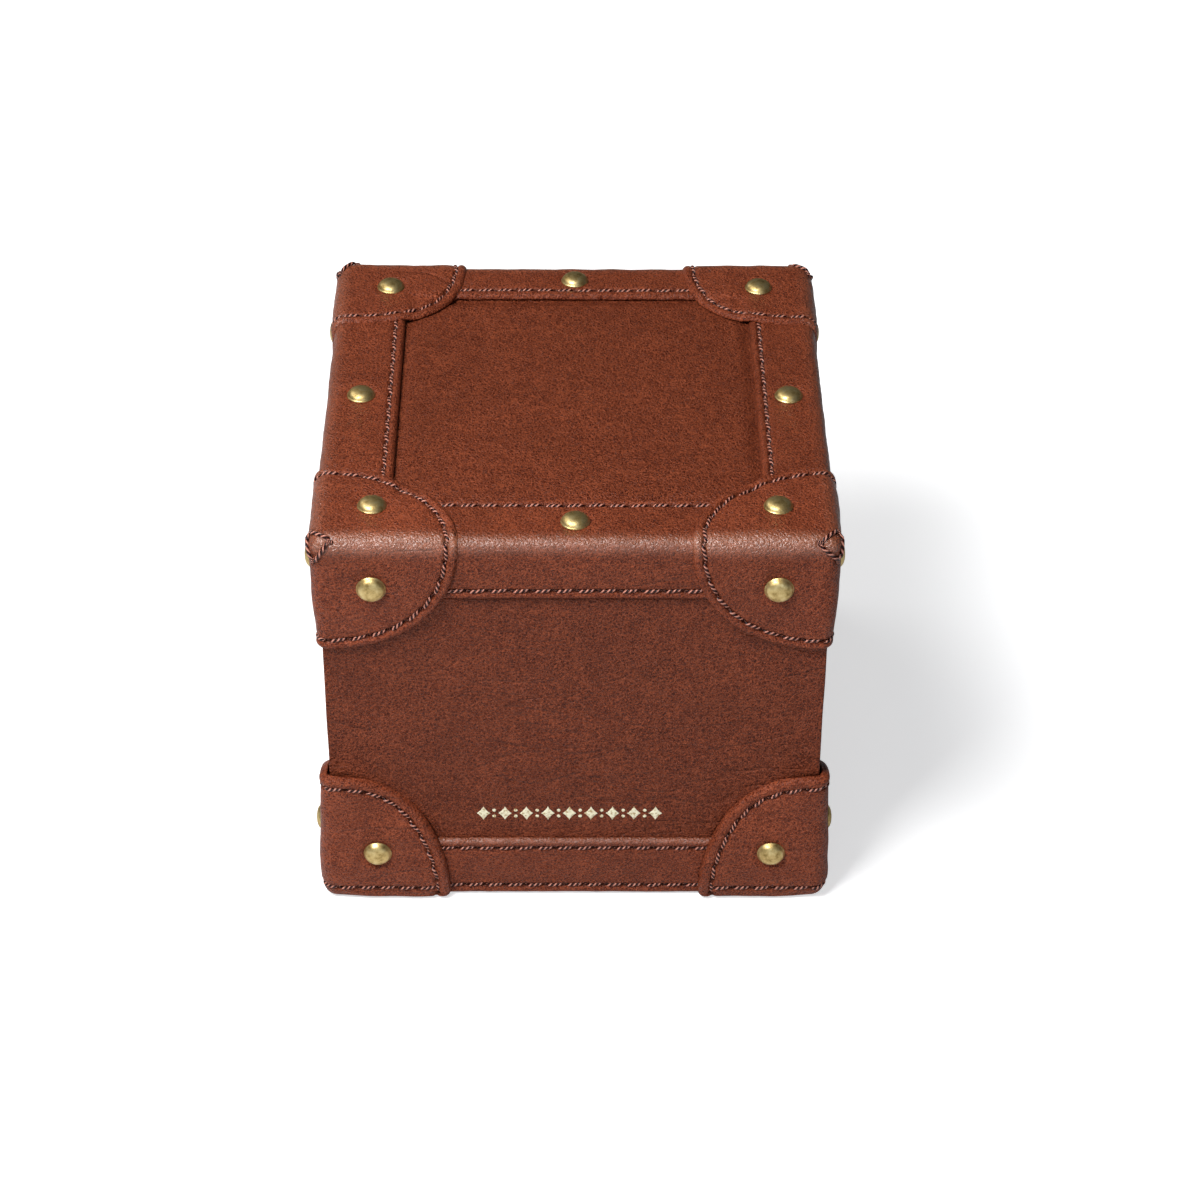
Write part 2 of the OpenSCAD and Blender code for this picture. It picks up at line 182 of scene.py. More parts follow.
class Form:
    """A box with rounded edges that leather is laid on: half widths, top height and edge radius."""

    def __init__(self, half_x, half_y, top, radius):
        self.half = np.array([half_x, half_y, top], float)
        self.radius = radius

    def lay(self, sharp, height):
        """Points at this height above the rounded form, from points on its sharp-edged outline."""
        core = self.half - self.radius
        centre = sharp.copy()
        centre[:, 0] = np.clip(sharp[:, 0], -core[0], core[0])
        centre[:, 1] = np.clip(sharp[:, 1], -core[1], core[1])
        centre[:, 2] = np.minimum(sharp[:, 2], core[2])
        out = sharp - centre
        out /= np.maximum(np.linalg.norm(out, axis=1, keepdims=True), 1e-9)
        return centre + out * (self.radius + np.asarray(height, float))[:, None], out


def rumple(points, wavelength, seed):
    """Smooth uneven values between about -1 and 1, the same on every run."""
    random = np.random.default_rng(seed)
    total = np.zeros(len(points))
    waves = 7
    for _ in range(waves):
        direction = random.normal(size=3)
        direction *= 2 * math.pi / (wavelength * np.linalg.norm(direction))
        total += np.sin(points @ direction * random.uniform(0.7, 1.5) + random.uniform(0, 6.28))
    return total / math.sqrt(waves)


def bell(x, centre, width):
    return np.exp(-(((x - centre) / width) ** 2))


def ease(x):
    """A smooth step from 0 to 1."""
    x = np.clip(x, 0, 1)
    return x * x * (3 - 2 * x)


def distances_along(path):
    """Distance of each point of a path from its start, measured along it."""
    return np.concatenate([[0], np.cumsum(np.linalg.norm(np.diff(path, axis=0), axis=1))])


def along_path(points, spacing):
    """The path with evenly spaced points, about this far apart."""
    place = distances_along(points)
    count = max(2, int(round(place[-1] / spacing)))
    wanted = np.linspace(0, place[-1], count + 1)
    return np.stack([np.interp(wanted, place, points[:, k]) for k in range(points.shape[1])], axis=1)


def lobe(a, b, power):
    """A quarter outline from (a, 0) to (0, b)."""
    t = np.linspace(0, math.pi / 2, 200)
    x = a * np.maximum(np.cos(t), 0) ** (2 / power)
    y = b * np.maximum(np.sin(t), 0) ** (2 / power)
    return np.stack([x, y], axis=1)


def lobe_reach(a, b, power, at):
    """How far a lobe with reach a still reaches at this distance along its other edge b."""
    return a * max(0.0, 1 - (at / b) ** power) ** (1 / power)


def distance_to(points, line):
    """Distance of each point to a polyline."""
    start = line[:-1]
    run = line[1:] - start
    size = np.maximum((run**2).sum(1), 1e-12)
    share = np.clip(((points[:, None] - start[None]) * run[None]).sum(2) / size, 0, 1)
    nearest = start[None] + share[..., None] * run[None]
    return np.sqrt(((points[:, None] - nearest) ** 2).sum(2)).min(1)


def inset(outline, centre, line, depth):
    """The outline's points moved towards the centre until they are this deep inside the line."""
    if depth <= 0:
        return outline.copy()
    way = centre - outline
    way /= np.linalg.norm(way, axis=1, keepdims=True)
    travel = np.full(len(outline), float(depth))
    for _ in range(6):
        found = distance_to(outline + way * travel[:, None], line)
        travel *= np.clip(depth / np.maximum(found, 1e-6), 0.5, 2)
    return outline + way * travel[:, None]


class Plane:
    """One flat side of a leather patch: its outline, the point its rings shrink to and its place."""

    def __init__(self, outline, centre, line, to_sharp):
        self.outline = outline
        self.centre = np.array(centre, float)
        self.line = line
        self.to_sharp = to_sharp

    def ring(self, depth):
        return inset(self.outline, self.centre, self.line, depth)


EDGE_ROUND = 0.85
EDGE_ANGLES = np.linspace(0, math.pi / 2, 8)
EDGE_DEPTHS = EDGE_ROUND * (1 - np.cos(EDGE_ANGLES))
FIELD_DEPTHS = np.array(
    [1.02, 1.2, 1.38, 1.54, 1.68, 1.8, 1.92, 2.04, 2.16, 2.28, 2.4, 2.52, 2.64, 2.78, 2.96, 3.2, 3.6]
)
# Places of the roll's crest and its width, as shares of the row's distance from the edge
BEAD_PLACE = 0.48
BEAD_WIDTH = 0.3
GROOVE_WIDTH = 0.42
FIELD_PUFF = 0.18
FIELD_RISE = 2.2
INNER_STEP = 0.62
OUTLINE_STEP = 0.36
# The underside lies this far off the form
UNDER_GAP = 0.01
# Needle holes pull the leather in only this deep inside its edge
PUCKER_FROM = 0.3


def edge_height(depth, thickness):
    """Height of a turned edge: rounded from the form up to the full thickness."""
    across = np.clip(depth / EDGE_ROUND, 0, 1)
    return thickness * np.sqrt(np.maximum(0, 1 - (1 - across) ** 2))


def bead_and_groove(depth, row):
    """The full roll of a turned edge and the groove that its stitched row pulls behind it."""
    own = sizes()
    bead = mm(own.edge_roll) * bell(depth, BEAD_PLACE * row, BEAD_WIDTH * row)
    return bead - mm(own.groove_depth) * bell(depth, row, GROOVE_WIDTH)


def field(depth, row):
    """The leather swells again a little behind its stitched row."""
    return FIELD_PUFF * (1 - np.exp(-np.maximum(depth - row, 0) / FIELD_RISE))


def patch_rings(planes, height, form):
    """Closed rings of a leather patch: underside from its centre out, round the edge, and the top back in."""
    deepest = FIELD_DEPTHS[-1]
    cache = {}

    def flat(depth):
        if depth not in cache:
            cache[depth] = [plane.ring(depth) for plane in planes]
        return cache[depth]

    def laid(rings, depth_value, top):
        sharp = np.concatenate([p.to_sharp(r) for p, r in zip(planes, rings)])
        depth = np.full(len(sharp), float(depth_value))
        return form.lay(sharp, height(sharp, depth, top))[0]

    reach = max(np.linalg.norm(r - p.centre, axis=1).max() for p, r in zip(planes, flat(deepest)))
    count = int(reach / INNER_STEP)
    shares = np.linspace(1, 0, count + 1)[1:-1]

    def shrunk(share):
        return [p.centre + share * (r - p.centre) for p, r in zip(planes, flat(deepest))]

    rings = [laid(shrunk(s), deepest, False) for s in np.linspace(0, 1, 9)[1:-1]]
    rings += [laid(flat(d), d, False) for d in (deepest, 0.4)]
    rings += [laid(flat(d), d, True) for d in EDGE_DEPTHS]
    rings += [laid(flat(d), d, True) for d in FIELD_DEPTHS]
    rings += [laid(shrunk(s), deepest + (1 - s) * reach, True) for s in shares]
    middle = np.concatenate([p.to_sharp(p.centre[None]) for p in planes[:1]])
    under = form.lay(middle, height(middle, np.array([deepest]), False))[0]
    over = form.lay(middle, height(middle, np.array([deepest + reach]), True))[0]
    return rings, under[0], over[0]


def grid_faces(rows, columns, wrap_rows=False, wrap_columns=False):
    """Quads of a grid of rows of equal length."""
    faces = []
    for i in range(rows if wrap_rows else rows - 1):
        row, after = i * columns, (i + 1) % rows * columns
        for j in range(columns if wrap_columns else columns - 1):
            k = (j + 1) % columns
            faces.append((row + j, row + k, after + k, after + j))
    return faces


def closed_rings(rings, first, last):
    """Vertices and faces of closed rings of equal count that end in two points."""
    count = len(rings[0])
    verts = np.concatenate([[first], *rings, [last]])
    around = [(1 + k, 1 + (k + 1) % count) for k in range(count)]
    faces = [(0, b, a) for a, b in around]
    faces += [tuple(1 + v for v in face) for face in grid_faces(len(rings), count, wrap_columns=True)]
    base = (len(rings) - 1) * count
    faces += [(base + a, base + b, len(verts) - 1) for a, b in around]
    return verts, faces


def raised(flat, z):
    """Flat points with this height, or each with its own."""
    return np.column_stack([flat, np.broadcast_to(z, len(flat))])


# ---- Pieces ----

def in_scene(name, data):
    """An object at the origin, linked to the scene."""
    piece = bpy.data.objects.new(name, data)
    bpy.context.scene.collection.objects.link(piece)
    return piece


def points_of(piece):
    """The vertices of a piece, in millimetres."""
    return np.array([tuple(v.co) for v in piece.data.vertices]) / MM


def make_mesh(name, verts, faces):
    """A smooth mesh object at the origin, from millimetres, with its faces outward."""
    mesh = bpy.data.meshes.new(name)
    mesh.from_pydata([tuple(v) for v in np.asarray(verts, float) * MM], [], faces)
    work = bmesh.new()
    work.from_mesh(mesh)
    bmesh.ops.remove_doubles(work, verts=work.verts, dist=1e-7)
    bmesh.ops.recalc_face_normals(work, faces=work.faces)
    work.to_mesh(mesh)
    work.free()
    mesh.shade_smooth()
    return in_scene(name, mesh)


def finish_piece(piece, key, body, nodes=()):
    """Gives a piece its finish, its body and the nodes it stands for."""
    dress(piece, key)
    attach(piece, body)
    if nodes:
        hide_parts(*nodes)


def dress(piece, key):
    """Puts one finish over the whole piece."""
    piece.data.materials.clear()
    piece.data.materials.append(finish(key))


# ---- Materials ----

def fill(tree, node, settings, links):
    """Gives a node its settings, a colour ramp its stops, and inputs their values or links. A node linked
    from gives its first output in use."""
    for key, value in settings.items():
        if key == "stops":
            steps = node.color_ramp.elements
            while len(steps) < len(value):
                steps.new(0.5)
            for step, stop in zip(steps, value):
                step.position, step.color = stop
        elif isinstance(key, str) and hasattr(node, key):
            setattr(node, key, value)
        else:
            node.inputs[key].default_value = value
    for key, source in links.items():
        if isinstance(source, bpy.types.Node):
            source = next(socket for socket in source.outputs if socket.enabled)
        tree.links.new(source, node.inputs[key])


def add(tree, kind, settings=None, links=None):
    """Adds a node with its settings and links."""
    node = tree.nodes.new(kind)
    fill(tree, node, settings or {}, links or {})
    return node


def new_material(name):
    """An empty material and its tree, shader and output, made once."""
    material = bpy.data.materials.new(name)
    material.use_nodes = True
    tree = material.node_tree
    tree.nodes.clear()
    shader = add(tree, "ShaderNodeBsdfPrincipled")
    add(tree, "ShaderNodeOutputMaterial", links={"Surface": shader.outputs["BSDF"]})
    return material, tree, shader


def leather(name, rough, shine, tone_lift, grain_depth, crease, seed):
    """Vegetable-tanned calf, drum-dyed and waxed: a fine grain with pale curving strokes where it has rubbed,
    an uneven tone, a satin wax, folded edges worn paler with a painted highlight, and painted shade in the
    needle holes."""
    material, tree, shader = new_material(name)
    own = colours()
    grain = sizes().grain
    place = add(tree, "ShaderNodeTexCoord").outputs["Object"]
    shift = [seed * share for share in (0.37, 0.21, 0.11)]
    where = add(tree, "ShaderNodeMapping", {"Location": shift}, {"Vector": place})
    # Creases run mostly level, where the skin was drawn over the boards
    drawn = add(
        tree, "ShaderNodeMapping", {"Rotation": (0, 0.22, 0.1), "Scale": (0.3, 0.3, 1)}, {"Vector": where}
    )
    # Width of one patch in metres, detail, roughness, distortion and place
    noises = {
        key: add(
            tree, "ShaderNodeTexNoise",
            {"Scale": 1 / width, "Detail": detail, "Roughness": coarse, "Distortion": bend},
            {"Vector": source},
        )
        for key, width, detail, coarse, bend, source in (
            ("tone", 0.016, 3, 0.55, 0, where), ("marks", grain, 5, 0.82, 0, where),
            ("swirl", 0.0024, 3, 0.6, 1.1, where), ("sparse", 0.0034, 2, 0.5, 0, where),
            ("sway", 0.0014, 2, 0.5, 0, where), ("specks", 0.00027, 1, 0.5, 0, where),
            ("pebbles", grain, 2.5, 0.6, 0, where), ("slack", 0.03, 1, 0.5, 0, where),
            ("folds", 0.009, 2, 0.55, 0.5, drawn),
        )
    }
    # Curved lines where a noise crosses its middle value
    lines = {}
    for key in ("swirl", "folds"):
        off = add(tree, "ShaderNodeMath", {"operation": "SUBTRACT", 1: 0.5}, {0: noises[key]})
        lines[key] = add(tree, "ShaderNodeMath", {"operation": "ABSOLUTE"}, {0: off})
    # Pebbles about 0.8 mm across, with pale hairlines between them where the wax has cracked
    swayed = add(
        tree, "ShaderNodeVectorMath", {"operation": "MULTIPLY_ADD", 1: (0.0011, 0.0011, 0.0011)},
        {0: noises["sway"].outputs["Color"], 2: where},
    )
    cells = add(
        tree, "ShaderNodeTexVoronoi", {"feature": "DISTANCE_TO_EDGE", "Scale": 0.5 / grain},
        {"Vector": swayed},
    )
    # Each effect's source, the span of it that counts and the strengths at its two ends
    parts = {
        key: add(
            tree, "ShaderNodeMapRange",
            {"interpolation_type": shape, "From Min": low, "From Max": high, "To Min": least, "To Max": most},
            {"Value": source},
        )
        for key, source, low, high, least, most, shape in (
            ("swirl", lines["swirl"], 0, 0.02, 1, 0, "SMOOTHSTEP"),
            ("cracks", cells, 0, 0.15, 1, 0, "LINEAR"),
            ("worn", noises["sparse"], 0.40, 0.60, 0.35, 0.65, "LINEAR"),
            ("specks", noises["specks"], 0.56, 0.70, 0, 0.9, "LINEAR"),
            ("broad", noises["tone"], 0.3, 0.7, 0.91 * tone_lift, 1.09 * tone_lift, "LINEAR"),
            ("folds", lines["folds"], 0, 0.03, 0, 1, "SMOOTHSTEP"),
            ("slack", noises["slack"], 0.42, 0.6, 0, 1, "LINEAR"),
            ("domes", cells, 0, 0.3, 0, 1, "SMOOTHSTEP"),
            ("rough", noises["marks"], 0.3, 0.7, rough + 0.06, rough - 0.04, "LINEAR"),
        )
    }
    pale = {0: parts["swirl"], 1: parts["cracks"]}
    pale = add(tree, "ShaderNodeMath", {"operation": "MAXIMUM"}, pale)
    rubbed = add(tree, "ShaderNodeMath", {"operation": "MULTIPLY"}, {0: pale, 1: parts["worn"]})
    # Folded edges that handling has polished and worn paler, their paler colour also a painted highlight
    burnish = add(tree, "ShaderNodeAttribute", {"attribute_name": "burnish"}).outputs["Fac"]
    # Painted shade in the needle holes
    pit = add(tree, "ShaderNodeAttribute", {"attribute_name": "pit"}).outputs["Fac"]
    stops = [(0.40, own.leather_deep), (0.48, own.leather), (0.525, own.leather), (0.61, own.leather_pale)]
    tone = add(tree, "ShaderNodeValToRGB", {"stops": stops}, {"Fac": noises["marks"]})
    for share, paler in (
        (rubbed, own.leather_pale), (parts["specks"], own.leather_pale),
        # Edge wear on the folded edges, partly a painted highlight
        (add(tree, "ShaderNodeMath", {"operation": "MULTIPLY", 1: 0.45}, {0: burnish}), own.leather_edge_wear_highlight),
    ):
        tone = add(tree, "ShaderNodeMix", {"data_type": "RGBA", 7: paler}, {0: share, 6: tone})
    tone = add(tree, "ShaderNodeVectorMath", {"operation": "SCALE"}, {0: tone, "Scale": parts["broad"]})
    # Darkens the needle holes with painted shade
    tone = add(tree, "ShaderNodeMix", {"data_type": "RGBA", 7: own.leather_hole_shade}, {0: pit, 6: tone})
    crumple = add(tree, "ShaderNodeMath", {"operation": "MULTIPLY"}, {0: parts["folds"], 1: parts["slack"]})
    fine = add(tree, "ShaderNodeBump", {"Distance": grain_depth}, {"Height": noises["pebbles"]})
    pebbled = add(
        tree, "ShaderNodeBump", {"Distance": 0.6 * grain_depth}, {"Height": parts["domes"], "Normal": fine}
    )
    creased = add(
        tree, "ShaderNodeBump", {"Strength": 0.8, "Distance": crease}, {"Height": crumple, "Normal": pebbled}
    )
    fill(
        tree, shader,
        {"Coat IOR": 1.72, "Coat Roughness": 0.36, "IOR": 1.46, "Specular IOR Level": shine},
        {
            "Base Color": tone, "Roughness": parts["rough"], "Normal": creased,
            "Coat Weight": burnish, "Coat Normal": pebbled,
        },
    )
    return material


# The two plies cross a stitch this many times
PLY_TURNS = 3.5
# Distance between two ribs of the ribbon, in millimetres
RIB_PITCH = 0.9


def wave_along(tree, phase):
    """A wave from 0 to 1 along a phase in radians."""
    wave = add(tree, "ShaderNodeMath", {"operation": "SINE"}, {0: phase})
    return add(tree, "ShaderNodeMapRange", {"From Min": -1.0}, {"Value": wave})


def flecked(name, noise, stops, depth, settings):
    """A finish whose colour and relief follow one fine noise."""
    material, tree, shader = new_material(name)
    place = add(tree, "ShaderNodeTexCoord").outputs["Object"]
    flecks = add(tree, "ShaderNodeTexNoise", noise, {"Vector": place})
    tone = add(tree, "ShaderNodeValToRGB", {"stops": stops}, {"Fac": flecks})
    bump = add(tree, "ShaderNodeBump", {"Distance": depth}, {"Height": flecks})
    fill(tree, shader, settings, {"Base Color": tone, "Normal": bump})
    return material, tree, shader, flecks


def waxed_thread():
    """Two-ply waxed linen: painted shade, nearly black-red, between its plies, and a pale painted highlight
    on their crowns.
    """
    material, tree, shader = new_material("waxed_linen_thread")
    sewn = add(tree, "ShaderNodeUVMap", {"uv_map": "UVMap"})
    split = add(tree, "ShaderNodeSeparateXYZ", links={"Vector": sewn})
    round_it = add(tree, "ShaderNodeMath", {"operation": "MULTIPLY", 1: 2.0}, {0: split.outputs["Y"]})
    phase = add(
        tree, "ShaderNodeMath", {"operation": "MULTIPLY_ADD", 1: PLY_TURNS},
        {0: split.outputs["X"], 2: round_it},
    )
    turned = add(tree, "ShaderNodeMath", {"operation": "MULTIPLY", 1: 2 * math.pi}, {0: phase})
    ply = wave_along(tree, turned)
    # Painted shade between the plies and a painted highlight on their crowns, round the thread's own colour
    stops = [(0.22, linear("#200a09")), (0.60, colours().thread), (1.0, linear("#cd8f7b"))]
    tone = add(tree, "ShaderNodeValToRGB", {"stops": stops}, {"Fac": ply})
    bump = add(tree, "ShaderNodeBump", {"Distance": 0.00016}, {"Height": ply})
    fill(tree, shader, {"Roughness": 0.33, "Specular IOR Level": 0.22}, {"Base Color": tone, "Normal": bump})
    return material


def grosgrain():
    """Woven grosgrain ribbon: cross ribs along its length, with a low lustre."""
    material, tree, shader = new_material("woven_grosgrain")
    woven = add(tree, "ShaderNodeUVMap", {"uv_map": "UVMap"})
    split = add(tree, "ShaderNodeSeparateXYZ", links={"Vector": woven})
    turned = add(
        tree, "ShaderNodeMath", {"operation": "MULTIPLY", 1: 2 * math.pi / RIB_PITCH}, {0: split.outputs["Y"]}
    )
    ribs = wave_along(tree, turned)
    # Darker in the rib valleys and lighter on their crowns: painted shade and painted highlight
    stops = [(0.0, linear("#5e2a20")), (1.0, linear("#93493a"))]
    tone = add(tree, "ShaderNodeValToRGB", {"stops": stops}, {"Fac": ribs})
    bump = add(tree, "ShaderNodeBump", {"Distance": 0.00012}, {"Height": ribs})
    fill(tree, shader, {"Roughness": 0.6}, {"Base Color": tone, "Normal": bump})
    return material


def antique_brass():
    """Spun brass, antiqued and lacquered: brown in its pits, rubbed pale on the crown."""
    material, tree, shader, tarnish = flecked(
        "antique_brass", {"Scale": 1 / 0.0014, "Detail": 5.0, "Roughness": 0.65},
        [(0.3, linear("#8d7442")), (0.48, colours().brass), (0.7, linear("#e2cf98"))],
        0.00004, {"Metallic": 1.0},
    )
    rough = add(
        tree, "ShaderNodeMapRange", {"From Min": 0.3, "From Max": 0.7, "To Min": 0.50, "To Max": 0.42},
        {"Value": tarnish},
    )
    fill(tree, shader, {}, {"Roughness": rough})
    return material


def suede():
    """Microfibre suede: a short nap that lies in soft patches and glows at grazing angles."""
    material, tree, shader = new_material("microfibre_suede")
    place = add(tree, "ShaderNodeTexCoord").outputs["Object"]
    nap = add(
        tree, "ShaderNodeTexNoise", {"Scale": 1 / 0.0005, "Detail": 5.0, "Roughness": 0.7}, {"Vector": place}
    )
    lie = add(tree, "ShaderNodeTexNoise", {"Scale": 1 / 0.012, "Distortion": 0.8}, {"Vector": place})
    stops = [(0.3, linear("#8a6d4f")), (0.55, colours().suede), (0.8, linear("#c2a582"))]
    tone = add(tree, "ShaderNodeValToRGB", {"stops": stops}, {"Fac": nap})
    patch = add(
        tree, "ShaderNodeMapRange", {"From Min": 0.35, "From Max": 0.65, "To Min": 0.88, "To Max": 1.08},
        {"Value": lie},
    )
    base = add(tree, "ShaderNodeVectorMath", {"operation": "SCALE"}, {0: tone, "Scale": patch})
    bump = add(tree, "ShaderNodeBump", {"Distance": 0.00012}, {"Height": nap})
    fill(
        tree, shader,
        {"Roughness": 0.95, "Sheen Weight": 0.35, "Sheen Roughness": 0.45, "Sheen Tint": linear("#e4cda9")},
        {"Base Color": base, "Normal": bump},
    )
    return material


def fibreboard():
    """Pressed fibreboard: flat brown-grey fibres, dull."""
    return flecked(
        "pressed_fibreboard", {"Scale": 1 / 0.0008, "Detail": 6.0, "Roughness": 0.75},
        [(0.3, linear("#6f5a42")), (0.7, linear("#9a8260"))], 0.00008, {"Roughness": 0.9},
    )[0]


def wool_felt():
    """Pressed wool felt under the foot: matted dark fibres."""
    return flecked(
        "pressed_wool_felt", {"Scale": 1 / 0.0007, "Detail": 8.0, "Roughness": 0.8},
        [(0.3, linear("#1d1816")), (0.7, linear("#3d3430"))], 0.0002, {"Roughness": 1.0},
    )[0]


def gold_foil():
    """Hot-stamped foil: pale gold that breaks up over the grain."""
    return flecked(
        "stamped_gold_foil", {"Scale": 1 / 0.0006, "Detail": 4.0},
        [(0.34, linear("#b59a63")), (0.52, colours().foil)], 0.00003, {"Metallic": 0.15, "Roughness": 0.5},
    )[0]


# Each leather's name, roughness, shine, lift of its tone, depths of its grain and creases in metres, and the
# part of the hide it is cut from
MAKERS = {
    "cover": lambda: leather("calf_leather_cover", 0.38, 0.15, 0.90, 0.00020, 0.00030, 1),
    "panel": lambda: leather("calf_leather_lid_panel", 0.38, 0.14, 0.90, 0.00020, 0.00006, 4),
    "trim": lambda: leather("calf_leather_burnished_trim", 0.36, 0.16, 1.0, 0.00017, 0.00016, 2),
    "cap": lambda: leather("calf_leather_moulded_caps", 0.36, 0.17, 1.07, 0.00017, 0.00022, 3),
    "thread": waxed_thread,
    "brass": antique_brass,
    "suede": suede,
    "board": fibreboard,
    "felt": wool_felt,
    "ribbon": grosgrain,
    "foil": gold_foil,
}
made = {}


def finish(key):
    """The named finish, made the first time it is used."""
    if key not in made:
        made[key] = MAKERS[key]()
    return made[key]


# ---- Stitched rows and rivets, spread by geometry nodes ----

def seat_tree(name):
    """A node tree that sets one small shape on every seat, turned by the seat's own directions."""
    tree = bpy.data.node_groups.new(name, "GeometryNodeTree")
    face = tree.interface
    for label, kind in (
        ("Seats", "Geometry"), ("Shape", "Object"), ("Thickness", "Float"), ("Slant", "Float"),
        ("Unevenness", "Float"), ("Seed", "Int"), ("Finish", "Material"),
    ):
        face.new_socket(label, in_out="INPUT", socket_type="NodeSocket" + kind)
    face.new_socket("Pieces", in_out="OUTPUT", socket_type="NodeSocketGeometry")
    given = add(tree, "NodeGroupInput").outputs
    shape = add(tree, "GeometryNodeObjectInfo", {"transform_space": "ORIGINAL"}, {"Object": given["Shape"]})
    run, out, span = (
        add(tree, "GeometryNodeInputNamedAttribute", {"data_type": kind, "Name": label})
        for label, kind in (("run", "FLOAT_VECTOR"), ("out", "FLOAT_VECTOR"), ("span", "FLOAT"))
    )
    upright = add(tree, "FunctionNodeAlignRotationToVector", {"axis": "Z"}, {"Vector": out})
    turned = add(
        tree, "FunctionNodeAlignRotationToVector", {"axis": "X", "pivot_axis": "Z"},
        {"Rotation": upright, "Vector": run},
    )
    even = add(
        tree, "FunctionNodeRandomValue", {"data_type": "FLOAT", 2: -1.0, 3: 1.0}, {"Seed": given["Seed"]}
    )
    swing = add(
        tree, "ShaderNodeMath", {"operation": "MULTIPLY_ADD"},
        {0: even, 1: given["Unevenness"], 2: given["Slant"]},
    )
    tilt = add(tree, "ShaderNodeCombineXYZ", links={"Z": swing})
    euler = add(tree, "FunctionNodeEulerToRotation", links={"Euler": tilt})
    final = add(
        tree, "FunctionNodeRotateRotation", {"rotation_space": "LOCAL"},
        {"Rotation": turned, "Rotate By": euler},
    )
    scale = add(
        tree, "ShaderNodeCombineXYZ", links={"X": span, "Y": given["Thickness"], "Z": given["Thickness"]}
    )
    spread = add(
        tree, "GeometryNodeInstanceOnPoints",
        links={
            "Points": given["Seats"], "Instance": shape.outputs["Geometry"],
            "Rotation": final, "Scale": scale,
        },
    )
    real = add(tree, "GeometryNodeRealizeInstances", links={"Geometry": spread})
    painted = add(tree, "GeometryNodeSetMaterial", links={"Geometry": real, "Material": given["Finish"]})
    add(tree, "NodeGroupOutput", links={"Pieces": painted})
    return tree


def spread(name, tree, seats, shape, values, key):
    """One plain mesh of the shape set on every seat: seats are rows of place, run, way out and span."""
    places = np.array([s[0] for s in seats], float) * MM
    mesh = bpy.data.meshes.new(name + "_seats")
    mesh.from_pydata([tuple(p) for p in places], [], [])
    for label, column in (("run", 1), ("out", 2)):
        layer = mesh.attributes.new(label, "FLOAT_VECTOR", "POINT")
        layer.data.foreach_set("vector", np.array([s[column] for s in seats], np.float32).ravel())
    layer = mesh.attributes.new("span", "FLOAT", "POINT")
    layer.data.foreach_set("value", np.array([s[3] * MM for s in seats], np.float32))
    carrier = in_scene(name + "_carrier", mesh)
    modifier = carrier.modifiers.new("spread", "NODES")
    modifier.node_group = tree
    wanted = dict(values, Shape=shape, Finish=finish(key))
    for item in tree.interface.items_tree:
        if item.in_out == "INPUT" and item.name in wanted:
            modifier[item.identifier] = wanted[item.name]
    bpy.context.view_layer.update()
    depsgraph = bpy.context.evaluated_depsgraph_get()
    mesh = bpy.data.meshes.new_from_object(carrier.evaluated_get(depsgraph), depsgraph=depsgraph)
    mesh.name = name
    for label in ("run", "out", "span"):
        if label in mesh.attributes:
            mesh.attributes.remove(mesh.attributes[label])
    bpy.data.objects.remove(carrier)
    mesh.shade_smooth()
    return in_scene(name, mesh)


# A stitch's middle stands this far off the leather and its ends dip by so much, as shares of its thickness
STITCH_PROUD = 0.24
STITCH_DIP = 0.72
# Share of the way between two holes that a stitch fills
STITCH_FILL = 0.97


def stitch_shape():
    """One stitch of unit length and thickness: its ends dip into the leather, a UV map carries its plies."""
    rings, sides = 9, 7
    verts = []
    for i in range(rings):
        x = i / (rings - 1) - 0.5
        dip = abs(2 * x) ** 4
        size = 0.5 - 0.16 * dip
        for j in range(sides):
            angle = 2 * math.pi * j / sides
            z = STITCH_PROUD - STITCH_DIP * dip + size * math.sin(angle)
            verts.append((x, size * math.cos(angle), z))
    faces = grid_faces(rings, sides, wrap_columns=True)
    faces.append(tuple(range(sides)))
    faces.append(tuple(range((rings - 1) * sides, rings * sides)))
    shape = make_mesh("stitch_shape", np.array(verts) / MM, faces)
    mesh = shape.data
    layer = mesh.uv_layers.new(name="UVMap")
    for face in mesh.polygons:
        spots = [mesh.vertices[v].co for v in face.vertices]
        dips = [STITCH_PROUD - STITCH_DIP * abs(2 * c.x) ** 4 for c in spots]
        turns = [(math.atan2(c.z - d, c.y) / (2 * math.pi)) % 1.0 for c, d in zip(spots, dips)]
        wraps = max(turns) - min(turns) > 0.5
        for loop, spot, turn in zip(face.loop_indices, spots, turns):
            layer.data[loop].uv = (spot.x + 0.5, turn + 1 if wraps and turn < 0.5 else turn)
    shape.hide_render = True
    return shape


def rivet_shape(dome, shank, shank_d):
    """One rivet of unit diameter: domed head with a soft lip, and its shank."""
    head = [
        (0.1, 0.985), (0.2, 0.935), (0.285, 0.85), (0.355, 0.73), (0.41, 0.57), (0.448, 0.39), (0.466, 0.23),
        (0.478, 0.17), (0.492, 0.13), (0.5, 0.06), (0.5, -0.02), (0.46, -0.06),
    ]
    profile = [(r, dome * h) for r, h in head] + [(shank_d / 2, -0.04), (shank_d / 2, -shank)]
    sides = 32
    rings = []
    for radius, z in profile:
        angles = np.arange(sides) * 2 * math.pi / sides
        rings.append(raised(np.stack([radius * np.cos(angles), radius * np.sin(angles)], axis=1), z))
    verts, faces = closed_rings(rings, (0, 0, dome * 1.02), (0, 0, -shank))
    shape = make_mesh("rivet_shape", verts / MM, faces)
    shape.hide_render = True
    return shape


